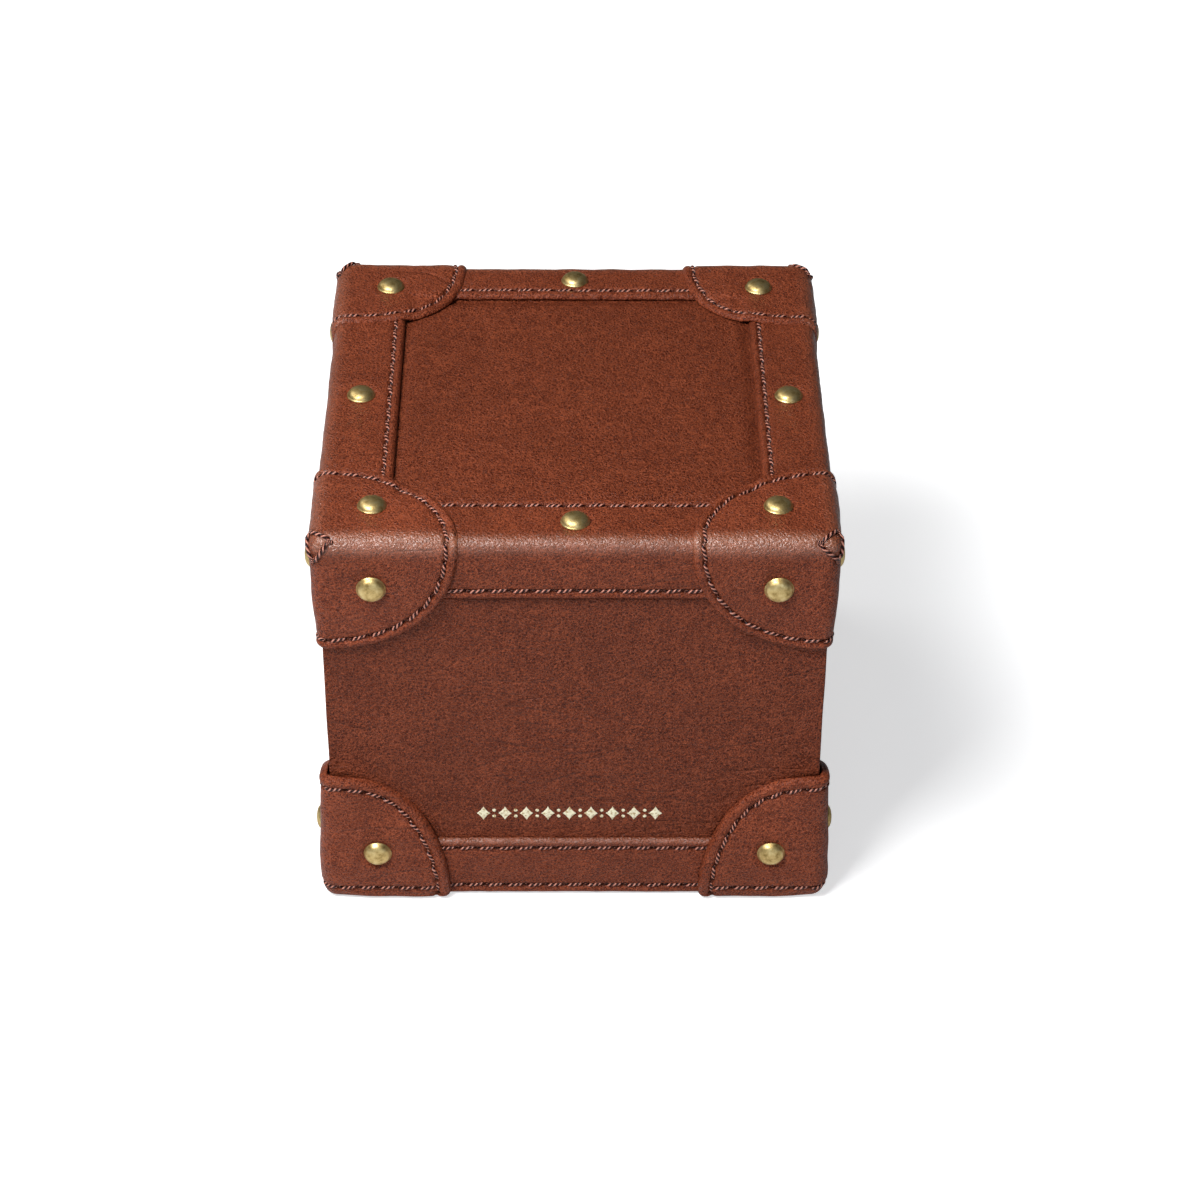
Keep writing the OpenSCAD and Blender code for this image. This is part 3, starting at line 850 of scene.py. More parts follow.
def row_seats(path, out, pitch, closed=False):
    """Seats of a stitched row along a path, and the holes between its stitches."""
    if closed:
        path = np.concatenate([path, path[:1]])
        out = np.concatenate([out, out[:1]])
    place = distances_along(path)
    count = max(1, int(round(place[-1] / pitch)))

    def at(values, where):
        return np.stack([np.interp(where, place, values[:, k]) for k in range(3)], axis=1)

    ends = np.linspace(0, place[-1], count + 1)
    middles = (ends[1:] + ends[:-1]) / 2
    holes = at(path, ends)
    runs = np.diff(holes, axis=0)
    spans = np.linalg.norm(runs, axis=1)
    runs /= spans[:, None]
    outs = at(out, middles)
    outs /= np.linalg.norm(outs, axis=1, keepdims=True)
    return list(zip(at(path, middles), runs, outs, STITCH_FILL * spans)), holes


def nearest(points, spots):
    """Distance of each point to the nearest of these spots."""
    tree = kdtree.KDTree(len(spots))
    for i, spot in enumerate(spots):
        tree.insert(spot, i)
    tree.balance()
    return np.array([tree.find(p)[2] for p in points])


PUCKER_DEPTH = 0.36
PUCKER_WIDTH = 0.46
# Width of the painted shade round a needle hole
HOLE_SHADE_WIDTH = 0.5
FOLD_WIDTH = 1.9
# The upright and side folds get less wear and painted highlight than the front and back ones, and a turned
# crest less than a fold
SIDE_FOLD_WEAR_AND_HIGHLIGHT = 0.4
CREST_WEAR_AND_HIGHLIGHT = 0.6
CREST_WIDTH = 0.5


def pucker(points, holes):
    """How far the leather is pulled in round each needle hole."""
    return PUCKER_DEPTH * bell(nearest(points, holes), 0, PUCKER_WIDTH)


def mark_hole_shade_and_edge_wear(piece, holes, crest=None):
    """Writes how close each point is to a needle hole, darkened with painted shade, and to a folded edge,
    worn paler with a painted highlight.

    crest is the height of a turned edge that is worn and painted with a highlight too."""
    points = points_of(piece)
    gaps = np.maximum(np.array([STRIP_X, STRIP_Y, STRIP_TOP]) - np.abs(points), 0)
    fold = bell(np.maximum(gaps[:, 2], gaps[:, :2].min(1)), 0, FOLD_WIDTH)
    fold *= np.where(gaps[:, 1] < gaps[:, 0], 1.0, SIDE_FOLD_WEAR_AND_HIGHLIGHT)
    if crest:
        fold = np.maximum(fold, CREST_WEAR_AND_HIGHLIGHT * bell(points[:, 2], crest, CREST_WIDTH))
    # Painted shade round the holes, and edge wear with a painted highlight on the folds
    for name, value in (("pit", bell(nearest(points, holes), 0, HOLE_SHADE_WIDTH)), ("burnish", fold)):
        layer = piece.data.attributes.new(name, "FLOAT", "POINT")
        layer.data.foreach_set("value", value.astype(np.float32))


stitch_seats = {"base": [], "lid": []}


# ---- Rivet seats, read from the frame ----

def solids_of(node):
    """Corners of each separate solid of a node, in millimetres."""
    work = bmesh.new()
    work.from_mesh(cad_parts[node].data)
    bmesh.ops.remove_doubles(work, verts=work.verts, dist=1e-6)
    left = set(work.verts)
    found = []
    while left:
        group, edge = set(), [left.pop()]
        while edge:
            vert = edge.pop()
            group.add(vert)
            for link in vert.link_edges:
                other = link.other_vert(vert)
                if other in left:
                    left.discard(other)
                    edge.append(other)
        corners = np.array([tuple(v.co) for v in group]) / MM
        found.append((corners.min(0), corners.max(0)))
    work.free()
    return found


RIVET_D = 5.6
RIVET_DOME = 1.5
RIVET_SHANK_D = 1.4
# How far round its head a rivet holds the leather down, and how deep
RIVET_GRIP = 1.1
RIVET_SINK = 0.05


def rivet_seats(node):
    """Each rivet of a node as its seat on the leather, its direction and the length of its shank."""
    seats = []
    for low, high in solids_of(node):
        size = high - low
        middle = (low + high) / 2
        past = np.maximum(high, -low) - np.array([STRIP_X, STRIP_Y, STRIP_TOP])
        axis = int(np.argmax(past))
        sign = 1.0 if axis == 2 or middle[axis] > 0 else -1.0
        out = np.zeros(3)
        out[axis] = sign
        tip = high[axis] if sign > 0 else low[axis]
        seat = middle.copy()
        seat[axis] = tip - sign * RIVET_DOME
        seats.append((seat, out, size[axis] - RIVET_DOME))
    return sorted(seats, key=lambda s: tuple(np.round(s[0], 3)))


def fasten(form, sharp, value, rivets, flat, side="front"):
    """Presses the leather flat under each driven rivet and a little way round its head. Gives its new height
    and the points where it lay before."""
    laid = turn_points(form.lay(sharp, value)[0], side)
    if not rivets:
        return value, laid
    away = np.min([np.linalg.norm(laid - seat, axis=1) for seat, _, _ in rivets], axis=0)
    grip = ease(1 - (away - 0.5 * RIVET_D) / RIVET_GRIP)
    return value * (1 - grip) + (flat - RIVET_SINK) * grip, laid


def cap_piece(name, planes, form, over, under, rivets, flat, holes, body, node):
    """A cap's leather, from the heights of its two faces, with its rivets driven and its needle holes."""
    def height(sharp, depth, top):
        if not top:
            return under(sharp)
        value, laid = fasten(form, sharp, over(sharp, depth), rivets, flat)
        return value - np.where(depth > PUCKER_FROM, pucker(laid, holes), 0)

    piece = make_mesh(name, *closed_rings(*patch_rings(planes, height, form)))
    mark_hole_shade_and_edge_wear(piece, holes)
    finish_piece(piece, "cap", body, [node])


# ---- Lid caps ----

# Reaches along the side edge x and front edge y, drop, fullness of the top, side and front lobes, and the
# three reaches of the sewn point, a little different on each cap, as cut by hand
CapShape = namedtuple("CapShape", "x y drop top side front point")
LID_CAPS = {
    "fl": ((-1, -1), CapShape(LID_CAP_X, LID_CAP_Y, LID_CAP_DROP, 2.0, 2.2, 2.2, (3.5, 3.2, 4.4))),
    "fr": ((1, -1), CapShape(LID_CAP_X, LID_CAP_Y, LID_CAP_DROP, 2.0, 2.2, 2.2, (3.6, 3.4, 4.2))),
    "bl": ((-1, 1), CapShape(LID_CAP_X - 0.9, LID_CAP_Y - 0.5, LID_CAP_DROP, 2.6, 2.2, 2.2, (3.4, 3.5, 4.3))),
    "br": ((1, 1), CapShape(LID_CAP_X - 0.9, LID_CAP_Y - 0.5, LID_CAP_DROP, 2.6, 2.2, 2.2, (3.5, 3.3, 4.4))),
}
WINDOW_SINK = 0.62
HANG_SINK = 0.45
CORNER_THIN = 0.35
KNOT_SPAN = 1.5
# Pitch so long that a short row is one stitch
ONE_STITCH = 9.0
# Depth so far inside a patch that its edge no longer counts
WELL_INSIDE = 9.0


def lid_radius():
    """Edge radius of the lid's leather, read from where its flat top ends."""
    points = points_of(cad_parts["lid_leather"])
    top = points[points[:, 2] > points[:, 2].max() - 0.005]
    return float(CASE_X - np.abs(top[:, 0]).max())


def lid_form():
    return Form(STRIP_X, STRIP_Y, STRIP_TOP, lid_radius() + STRIP_T)


def lid_cap_planes(shape, signs, form):
    """The three sides of a cap, each a lobe that shrinks to the corner point."""
    sx, sy = signs
    hx, hy, top = form.half

    def plane(a, b, power, flip, to_box):
        full = lobe(a, b, power)
        line = np.concatenate([(full * [1, -1])[::-1][:-1], full, (full * [-1, 1])[::-1][1:]])
        outline = along_path(full, OUTLINE_STEP)
        if flip:
            outline = outline[::-1]
        return Plane(outline[:-1], (0, 0), line, to_box)

    def on_top(p):
        return np.stack([sx * (hx - p[:, 0]), sy * (hy - p[:, 1]), np.full(len(p), top)], axis=1)

    def on_side(p):
        return np.stack([np.full(len(p), sx * hx), sy * (hy - p[:, 0]), top - p[:, 1]], axis=1)

    def on_front(p):
        return np.stack([sx * (hx - p[:, 0]), np.full(len(p), sy * hy), top - p[:, 1]], axis=1)

    return [
        plane(shape.x, shape.y, shape.top, False, on_top),
        plane(shape.y, shape.drop, shape.side, False, on_side),
        plane(shape.x, shape.drop, shape.front, True, on_front),
    ]


def inside_window(points):
    """How far each point is inside the sunk panel's window, negative over the bindings."""
    flat = points[:, :2]
    return np.minimum(flat - WINDOW_LOW, WINDOW_HIGH - flat).min(1)


def from_corner(sharp):
    """Distance of each point to the nearest upright corner, along the case."""
    return (STRIP_X - np.abs(sharp[:, 0])) + (STRIP_Y - np.abs(sharp[:, 1]))


def lid_cap_ground(sharp):
    """How the cap sinks: over the sunk panel, below the lid's edge, and drawn in at the upright corner."""
    on_top = sharp[:, 2] > STRIP_TOP - 1e-6
    sink = np.where(on_top, WINDOW_SINK * ease((inside_window(sharp) + 0.4) / 2.4), 0)
    hang = HANG_SINK * ease((SEAM_Z - sharp[:, 2]) / 10)
    thin = CORNER_THIN * ease((STRIP_TOP - sharp[:, 2]) / 4) * bell(from_corner(sharp), 0, 9)
    return -sink - hang - thin


def build_lid_cap(key, rivets):
    """A three-lobed cap, moulded over a corner of the lid and sewn together at its point."""
    signs, shape = LID_CAPS[key]
    form = lid_form()
    planes = lid_cap_planes(shape, signs, form)
    own = sizes()
    row = mm(own.stitch_inset)
    point = np.array(shape.point)
    seed = 11 + sum(ord(c) for c in key)

    def relief(sharp, depth):
        value = edge_height(depth, LID_CAP_T) + bead_and_groove(depth, row) + field(depth, row)
        towards_point = ((form.half - np.abs(sharp)) / point).sum(1)
        value -= 0.26 * bell(towards_point, 1, 0.17)
        value += 0.07 * rumple(sharp, 9.0, seed) + 0.025 * rumple(sharp, 3.4, seed + 1)
        return value - 0.16 * ease(1 - towards_point)

    def over(sharp, depth):
        return relief(sharp, depth) + lid_cap_ground(sharp)

    def under(sharp):
        return lid_cap_ground(sharp) + UNDER_GAP

    path = np.concatenate([p.to_sharp(p.ring(row)) for p in planes])
    line, out = form.lay(path, over(path, np.full(len(path), row)))
    seats, holes = row_seats(line, out, mm(own.stitch_pitch), closed=True)
    point_seats, point_holes = point_seam(form, signs, point, over)
    stitch_seats["lid"] += seats + point_seats
    holes = np.concatenate([holes, point_holes])
    cap_piece(
        "lid_cap_" + key, planes, form, over, under, rivets, LID_CAP_T, holes, "lid", "lid_corner_" + key
    )


def point_seam(form, signs, point, over):
    """A long stitch over each of the three short seams of a cap's sewn point, and a knot where they meet."""
    def sewn(path, proud):
        line, out = form.lay(path, over(path, np.full(len(path), WELL_INSIDE)) + proud)
        return row_seats(line, out, ONE_STITCH)

    towards = np.array([*signs, 1])
    ends = towards * form.half - np.diag(towards * point)
    share = np.linspace(0, 1, 24)[:, None]
    seats, holes = [], []
    for a, b in ((0, 1), (1, 2), (2, 0)):
        found, made_holes = sewn(ends[a] * (1 - share) + ends[b] * share, 0.05)
        seats += found
        holes.append(made_holes)
    for end, way in zip(ends, np.eye(3) * KNOT_SPAN / 2):
        seats += sewn(np.stack([end - way, end, end + way]), 0.12)[0]
    return seats, np.concatenate(holes)


# ---- Foot caps ----

# Which way each cap lies from the middle
FOOT_CAPS = {"fl": (-1, -1), "fr": (1, -1), "bl": (-1, 1), "br": (1, 1)}
# Height of the level row above the foot, and distance of the arched row from the edge
FOOT_ROW = 3.0
FOOT_INSET = 2.5
FOOT_CORNER_R = 1.2
FOOT_CAP_FRONT_POWER = 2.2
FOOT_CAP_SIDE_POWER = 2.1
FOOT_CAP_MIDDLE = (0.0, 11.0)
# Top of a form that leather only goes round
NO_TOP = 1000.0


def foot_form():
    return Form(STRIP_X, STRIP_Y, NO_TOP, FOOT_CAP_T)


def foot_cap_outline(reach, power):
    """Half outline, from the middle of the foot to the top of the upright corner."""
    rise = FOOT_CAP_TOP - FOOT_STRIP_LOW
    half = lobe(reach, rise, power)
    half = half[half[:, 1] > FOOT_CORNER_R]
    turn = np.linspace(-math.pi / 2, 0, 12)
    middle = np.array([half[0, 0] - FOOT_CORNER_R, FOOT_CORNER_R])
    bend = middle + FOOT_CORNER_R * np.stack([np.cos(turn), np.sin(turn)], axis=1)
    flat = np.array([[0.0, 0.0], [middle[0], 0.0]])
    return np.concatenate([flat, bend[1:], half])


def foot_cap_flare(sharp):
    """The folded leather of a foot cap swells above the foot, leans in at its top and tucks under."""
    z = sharp[:, 2]
    tuck = 0.7 * bell(z, 0, 2.0) * bell(from_corner(sharp), 0, 5)
    return 0.42 * bell(z, 6.5, 6.0) - 0.42 * ease((z - 12) / 14) - 0.12 * bell(z, 0, 1.6) - tuck


def foot_cap_ground(sharp):
    """Above the binding the cap sinks on to the covering, but its lip stands off at the upright corner."""
    rise = ease((sharp[:, 2] - FOOT_STRIP_HIGH - 1) / 7)
    return -0.95 * STRIP_T * rise * ease((from_corner(sharp) - 3) / 9)


def build_foot_cap(key, rivets):
    """A two-lobed cap, folded round a corner of the foot."""
    sx, sy = FOOT_CAPS[key]
    form = foot_form()
    hx, hy = form.half[:2]
    own = sizes()
    row = FOOT_INSET
    seed = 31 + sum(ord(c) for c in key)
    front_half = foot_cap_outline(FOOT_CAP_X, FOOT_CAP_FRONT_POWER)
    side_half = foot_cap_outline(FOOT_CAP_Y, FOOT_CAP_SIDE_POWER) * [-1, 1]
    loop = np.concatenate([front_half, side_half[::-1][1:]])
    outline = along_path(loop, OUTLINE_STEP)

    def to_sharp(p):
        along = np.abs(p[:, 0])
        front = p[:, 0] >= 0
        x = np.where(front, sx * (hx - along), sx * hx)
        y = np.where(front, sy * hy, sy * (hy - along))
        return np.stack([x, y, FOOT_STRIP_LOW + p[:, 1]], axis=1)

    plane = Plane(outline[:-1], FOOT_CAP_MIDDLE, outline, to_sharp)
    dome = along_path(
        np.concatenate([front_half[front_half[:, 1] > 0.2], side_half[side_half[:, 1] > 0.2][::-1]]), 0.4
    )

    def relief(sharp, depth):
        up = sharp[:, 2] - FOOT_STRIP_LOW
        on_side = hy - np.abs(sharp[:, 1]) > 1e-6
        along = np.where(on_side, np.abs(sharp[:, 1]) - hy, hx - np.abs(sharp[:, 0]))
        away = distance_to(np.stack([along, up], axis=1), dome)
        value = edge_height(depth, FOOT_CAP_T) + bead_and_groove(away, row)
        below = bell(up, FOOT_ROW, GROOVE_WIDTH) * np.clip((away - row + 0.6) / 0.6, 0, 1)
        value -= mm(own.groove_depth) * below
        value += field(np.minimum(away, up), row)
        value += 0.08 * rumple(sharp, 10.0, seed) + 0.03 * rumple(sharp, 3.6, seed + 1)
        return value + foot_cap_flare(sharp) + foot_cap_ground(sharp)

    def row_on(flat, depth):
        path = to_sharp(flat)
        line, out = form.lay(path, relief(path, np.full(len(path), depth)))
        return row_seats(line, out, mm(own.stitch_pitch))

    inner = inset(dome, np.array(FOOT_CAP_MIDDLE), dome, row)
    arch = inner[inner[:, 1] > 1.3]
    seats, holes = row_on(arch, row)
    ends = inner[np.argsort(np.abs(inner[:, 1] - FOOT_ROW))[:8], 0]
    level = along_path(np.array([[ends.min() + 0.3, FOOT_ROW], [ends.max() - 0.3, FOOT_ROW]]), 0.4)
    more, more_holes = row_on(level, FOOT_ROW)
    stitch_seats["base"] += seats + more
    holes = np.concatenate([holes, more_holes])

    def under(sharp):
        return 0.6 * foot_cap_flare(sharp) + foot_cap_ground(sharp) + UNDER_GAP

    cap_piece(
        "foot_cap_" + key, [plane], form, relief, under, rivets, FOOT_CAP_T, holes, "base",
        "base_corner_" + key,
    )


# ---- Bindings ----

def turn_points(points, side):
    """Points modelled on the front side, turned to another side."""
    c, s = QUARTER_TURNS[SIDES.index(side)]
    out = points.copy()
    out[:, 0] = c * points[:, 0] - s * points[:, 1]
    out[:, 1] = s * points[:, 0] + c * points[:, 1]
    return out


# Distance between two points along a binding
COLUMN_STEP = 0.4


def strip_section(total):
    """Distances across a binding, fine at its two stitched edges and plain between."""
    near = np.concatenate([EDGE_DEPTHS, FIELD_DEPTHS])
    middle = np.linspace(near[-1], total - near[-1], max(3, int((total - 2 * near[-1]) / 0.5)))[1:-1]
    return np.concatenate([near, middle, (total - near)[::-1]])


def build_strip(name, side, total, to_sharp, form, end_at, rows, body, nodes, rivets, seed):
    """A binding: rows of points across it, each laid on its form along its whole length.

    rows are the distance of each stitched row from the first edge, its own inset and its half length."""
    own = sizes()
    longest = max(end_at(0), end_at(total))
    share = np.linspace(-longest, longest, int(2 * longest / COLUMN_STEP) + 1)
    share = share / share[-1]
    first, second = rows[0][1], rows[1][1]

    def relief(sharp, q):
        value = edge_height(np.minimum(q, total - q), STRIP_T)
        value += bead_and_groove(q, first) + bead_and_groove(total - q, second)
        value += field(np.minimum(q, total - q), max(first, second))
        return value + 0.05 * rumple(sharp, 11.0, seed) + 0.02 * rumple(sharp, 3.5, seed + 1)

    holes = []
    for q, _, end in rows:
        path = to_sharp(np.linspace(-end, end, 160), q)
        line, out = form.lay(path, relief(path, np.full(len(path), q)))
        seats, found = row_seats(turn_points(line, side), turn_points(out, side), mm(own.stitch_pitch))
        stitch_seats[body] += seats
        holes.append(found)
    holes = np.concatenate(holes)

    levels = []
    for q in strip_section(total):
        sharp = to_sharp(share * end_at(q), q)
        value = relief(sharp, np.full(len(sharp), q))
        if PUCKER_FROM < q < total - PUCKER_FROM:
            value, laid = fasten(form, sharp, value, rivets, STRIP_T, side)
            value = value - pucker(laid, holes)
        levels.append(turn_points(form.lay(sharp, value)[0], side))
    for q in np.linspace(total - 0.4, 0.4, 40):
        sharp = to_sharp(share * end_at(q), q)
        levels.append(turn_points(form.lay(sharp, np.full(len(sharp), UNDER_GAP))[0], side))
    columns = len(share)
    verts = np.concatenate(levels)
    faces = grid_faces(len(levels), columns, wrap_rows=True)
    faces.append(tuple(i * columns for i in range(len(levels))))
    faces.append(tuple(i * columns + columns - 1 for i in reversed(range(len(levels)))))
    piece = make_mesh(name, verts, faces)
    mark_hole_shade_and_edge_wear(piece, holes, FOOT_STRIP_HIGH - 0.35 if body == "base" else None)
    finish_piece(piece, "trim", body, nodes)


# Insets of the top rows from the sunk panel, as sewn on each side
LID_ROW_INSETS = {"front": 2.24, "right": 1.9, "back": 2.4, "left": 1.9}


def build_lid_strip(side, rivets):
    """A binding folded over the lid's edge, from the sunk panel down to the seam."""
    front = side in ("front", "back")
    along_half, across_half = (STRIP_X, STRIP_Y) if front else (STRIP_Y, STRIP_X)
    radius = lid_radius()
    form = Form(along_half - STRIP_T, across_half - STRIP_T, LID_TOP, radius)
    top = form.half[2]
    edge = form.half[1]
    on_top = LID_STRIP_W[side] - STRIP_T
    total = on_top + (top - SEAM_Z)

    def to_sharp(along, q):
        count = len(along)
        if q <= on_top:
            return np.stack([along, np.full(count, -(edge - on_top + q)), np.full(count, top)], axis=1)
        return np.stack([along, np.full(count, -edge), np.full(count, top - (q - on_top))], axis=1)

    def end_at(q):
        return form.half[0] - radius - 0.2 - max(0.0, on_top - q)

    high = LID_ROW_INSETS[side]
    low = mm(sizes().stitch_inset) - 0.2
    reach, other = (LID_CAP_X, LID_CAP_Y) if front else (LID_CAP_Y, LID_CAP_X)
    high_end = along_half - lobe_reach(reach, other, 2.0, LID_STRIP_W[side] - high) + 0.6
    low_end = along_half - lobe_reach(reach, LID_CAP_DROP, 2.2, STRIP_TOP - SEAM_Z - low) + 0.6
    build_strip(
        "lid_binding_leather_" + side, side, total, to_sharp, form, end_at,
        [(high, high, high_end), (total - low, low, low_end)],
        "lid", ["lid_binding_" + side], rivets, 51 + SIDES.index(side),
    )


def build_foot_strip(side):
    """A flat binding round the foot with both edges turned."""
    front = side in ("front", "back")
    along_half, across_half = (CASE_X, CASE_Y) if front else (CASE_Y, CASE_X)
    form = Form(along_half, across_half, NO_TOP, 0.05)
    total = FOOT_STRIP_HIGH - FOOT_STRIP_LOW

    def to_sharp(along, q):
        count = len(along)
        level = np.full(count, FOOT_STRIP_HIGH - q)
        return np.stack([along, np.full(count, -across_half), level], axis=1)

    def end_at(q):
        return along_half - 0.1

    rise = FOOT_CAP_TOP - FOOT_STRIP_LOW
    row = mm(sizes().stitch_inset)
    reach, power = (FOOT_CAP_X, FOOT_CAP_FRONT_POWER) if front else (FOOT_CAP_Y, FOOT_CAP_SIDE_POWER)
    high_end = along_half + STRIP_T - lobe_reach(reach, rise, power, total - row) + 1.0
    low_end = along_half + STRIP_T - lobe_reach(reach, rise, power, row) + 1.0
    build_strip(
        "foot_binding_leather_" + side, side, total, to_sharp, form, end_at,
        [(row, row, high_end), (total - row, row, low_end)],
        "base", ["base_binding_" + side], [], 71 + SIDES.index(side),
    )


# ---- Coverings and linings, made of square rings ----

def square_ring(half_x, half_y, radius, step):
    """A square with rounded corners, as evenly placed points, the same count at every size."""
    points = []
    for side in SIDES:
        along, off = (half_x, half_y) if side in ("front", "back") else (half_y, half_x)
        line = np.linspace(-1, 1, step)[:, None] * np.array([[along - radius, 0]]) - np.array([[0, off]])
        turn = np.linspace(-math.pi / 2, 0, 6)[1:-1]
        bend = np.stack([np.cos(turn), np.sin(turn)], axis=1)
        bend = np.array([along - radius, radius - off]) + radius * bend
        points.append(turn_points(np.concatenate([line, bend]), side))
    return np.concatenate(points)


def ring_piece(name, half, section, corner_r, step, wobble, seed, ends=None):
    """A closed shell from a section of inward offsets and heights, carried round the case."""
    rings = []
    for offset, z, radius_share in section:
        radius = max(0.02, corner_r * radius_share)
        ring = raised(square_ring(half[0] - offset, half[1] - offset, radius, step), z)
        if wobble:
            square = np.zeros_like(ring)
            wide = np.abs(ring[:, 0]) / half[0] > np.abs(ring[:, 1]) / half[1]
            square[wide, 0] = np.sign(ring[wide, 0])
            square[~wide, 1] = np.sign(ring[~wide, 1])
            ring = ring + square * (wobble(ring, offset) * rumple(ring, 14.0, seed))[:, None]
        rings.append(ring)
    if ends:
        return make_mesh(name, *closed_rings(rings, *ends))
    return make_mesh(name, np.concatenate(rings), grid_faces(len(rings), len(rings[0]), True, True))


RIM_ROUND = 0.5


def body_section():
    """The covering's section: up the outside, over the rim and back down against the boards."""
    section = [(0.0, z, 1.0) for z in np.linspace(LEATHER_FOOT, RIM_Z - RIM_ROUND, 56)]
    for t in np.linspace(0, math.pi / 2, 5)[1:]:
        z = RIM_Z - RIM_ROUND + RIM_ROUND * math.sin(t)
        section.append((RIM_ROUND - RIM_ROUND * math.cos(t), z, 1.0))
    inner = CASE_X - LINER_X
    low = RIM_Z - LEATHER_T
    section += [(o, RIM_Z, 0.5) for o in np.linspace(1.0, inner, 5)]
    return section + [(inner, low, 0.5), (LEATHER_T, low, 0.3), (LEATHER_T, LEATHER_FOOT, 0.3)]


def lid_section():
    """The lid covering's section: out over the panel, round the edge, down and under its rim."""
    radius = lid_radius()
    across = np.concatenate([
        np.linspace(CASE_X - 2, 16.5, 26), np.linspace(16.2, 10.2, 26), np.linspace(9, radius, 7)
    ])
    section = [(o, LID_TOP, 1.0) for o in across]
    turn = np.linspace(0, math.pi / 2, 6)[1:]
    section += [(radius - radius * math.sin(t), LID_TOP - radius + radius * math.cos(t), 1.0) for t in turn]
    section += [(0.0, z, 1.0) for z in np.linspace(LID_TOP - radius - 1, SEAM_Z, 8)]
    inner = CASE_X - LID_RIM_INNER
    section += [(inner, SEAM_Z, 0.3), (inner, SEAM_Z + LEATHER_T, 0.3), (LEATHER_T, SEAM_Z + LEATHER_T, 0.5)]
    section += [(LEATHER_T, LID_TOP - LEATHER_T, 0.5), (CASE_X - 3, LID_TOP - LEATHER_T, 0.5)]
    return section


# ---- Tray, pads, ribbon and covered boards ----

RECESS_Y = (low_of("recess_pad", 1) + high_of("recess_pad", 1)) / 2
RECESS_R = high_of("recess_pad", 0) + 0.2
# The tray's cushion
SLOT_HALF = 8.0
SLOT_LENGTH = 13.0
NOTCH_HALF = 5.5
NOTCH_DEPTH = 2.5
CUSHION_CORNER = 3.0
CUSHION_LIP = 2.5
CUSHION_EDGE = 4.0
CUSHION_CROWN = 0.9
# Radius at which the pulls of the cushion's lip are worked out
LIP_GIRTH = 26
# How far cloth is drawn in between the corners of a cushion or pad
DRAWN_IN = 0.5
PAD_CROWN = 0.9


def cushion_angles():
    """Directions from the recess's middle, closer together at the bow's slot and the ribbon's notch."""
    degrees = np.concatenate([
        np.linspace(-22, 22, 88) % 360, np.linspace(23, 167, 100), np.linspace(168, 192, 60),
        np.linspace(193, 337, 100),
    ])
    return np.radians(np.sort(degrees))


def keyhole(angle):
    """Distance from the recess's middle to its edge, with the slot for the watch's bow."""
    across, ahead = np.abs(np.sin(angle)), np.cos(angle)
    end = RECESS_R + SLOT_LENGTH - SLOT_HALF
    tip = end * ahead + np.sqrt(np.maximum(SLOT_HALF**2 - (end * across) ** 2, 0))
    wall = SLOT_HALF / np.maximum(across, 1e-6)
    slot = np.where(across < ahead * SLOT_HALF / end, tip, wall)
    slot = np.where(ahead > 0, slot, 0)
    soft = 0.6
    return RECESS_R + soft * np.logaddexp(0, (slot - RECESS_R) / soft)


def cushion_reach(angle):
    """Distance from the recess's middle to the cushion's outside, drawn in between its corners."""
    high = box_mm("watch_cushion")[1]
    hx, hy = high[0] - 0.15, high[1] - 0.15
    line = square_ring(hx, hy, CUSHION_CORNER, 220)
    x, y = line[:, 0].copy(), line[:, 1].copy()
    notch = ease((NOTCH_HALF + 0.4 - np.abs(x)) / 0.8) * (y < 1 - hy)
    x = x * (1 - DRAWN_IN / hx * (1 - (line[:, 1] / hy) ** 2))
    y = y * (1 - DRAWN_IN / hy * (1 - (line[:, 0] / hx) ** 2) * (1 - notch)) + NOTCH_DEPTH * notch
    around = np.arctan2(x, y - RECESS_Y) % (2 * math.pi)
    order = np.argsort(around)
    return np.interp(angle, around[order], np.hypot(x, y - RECESS_Y)[order], period=2 * math.pi)


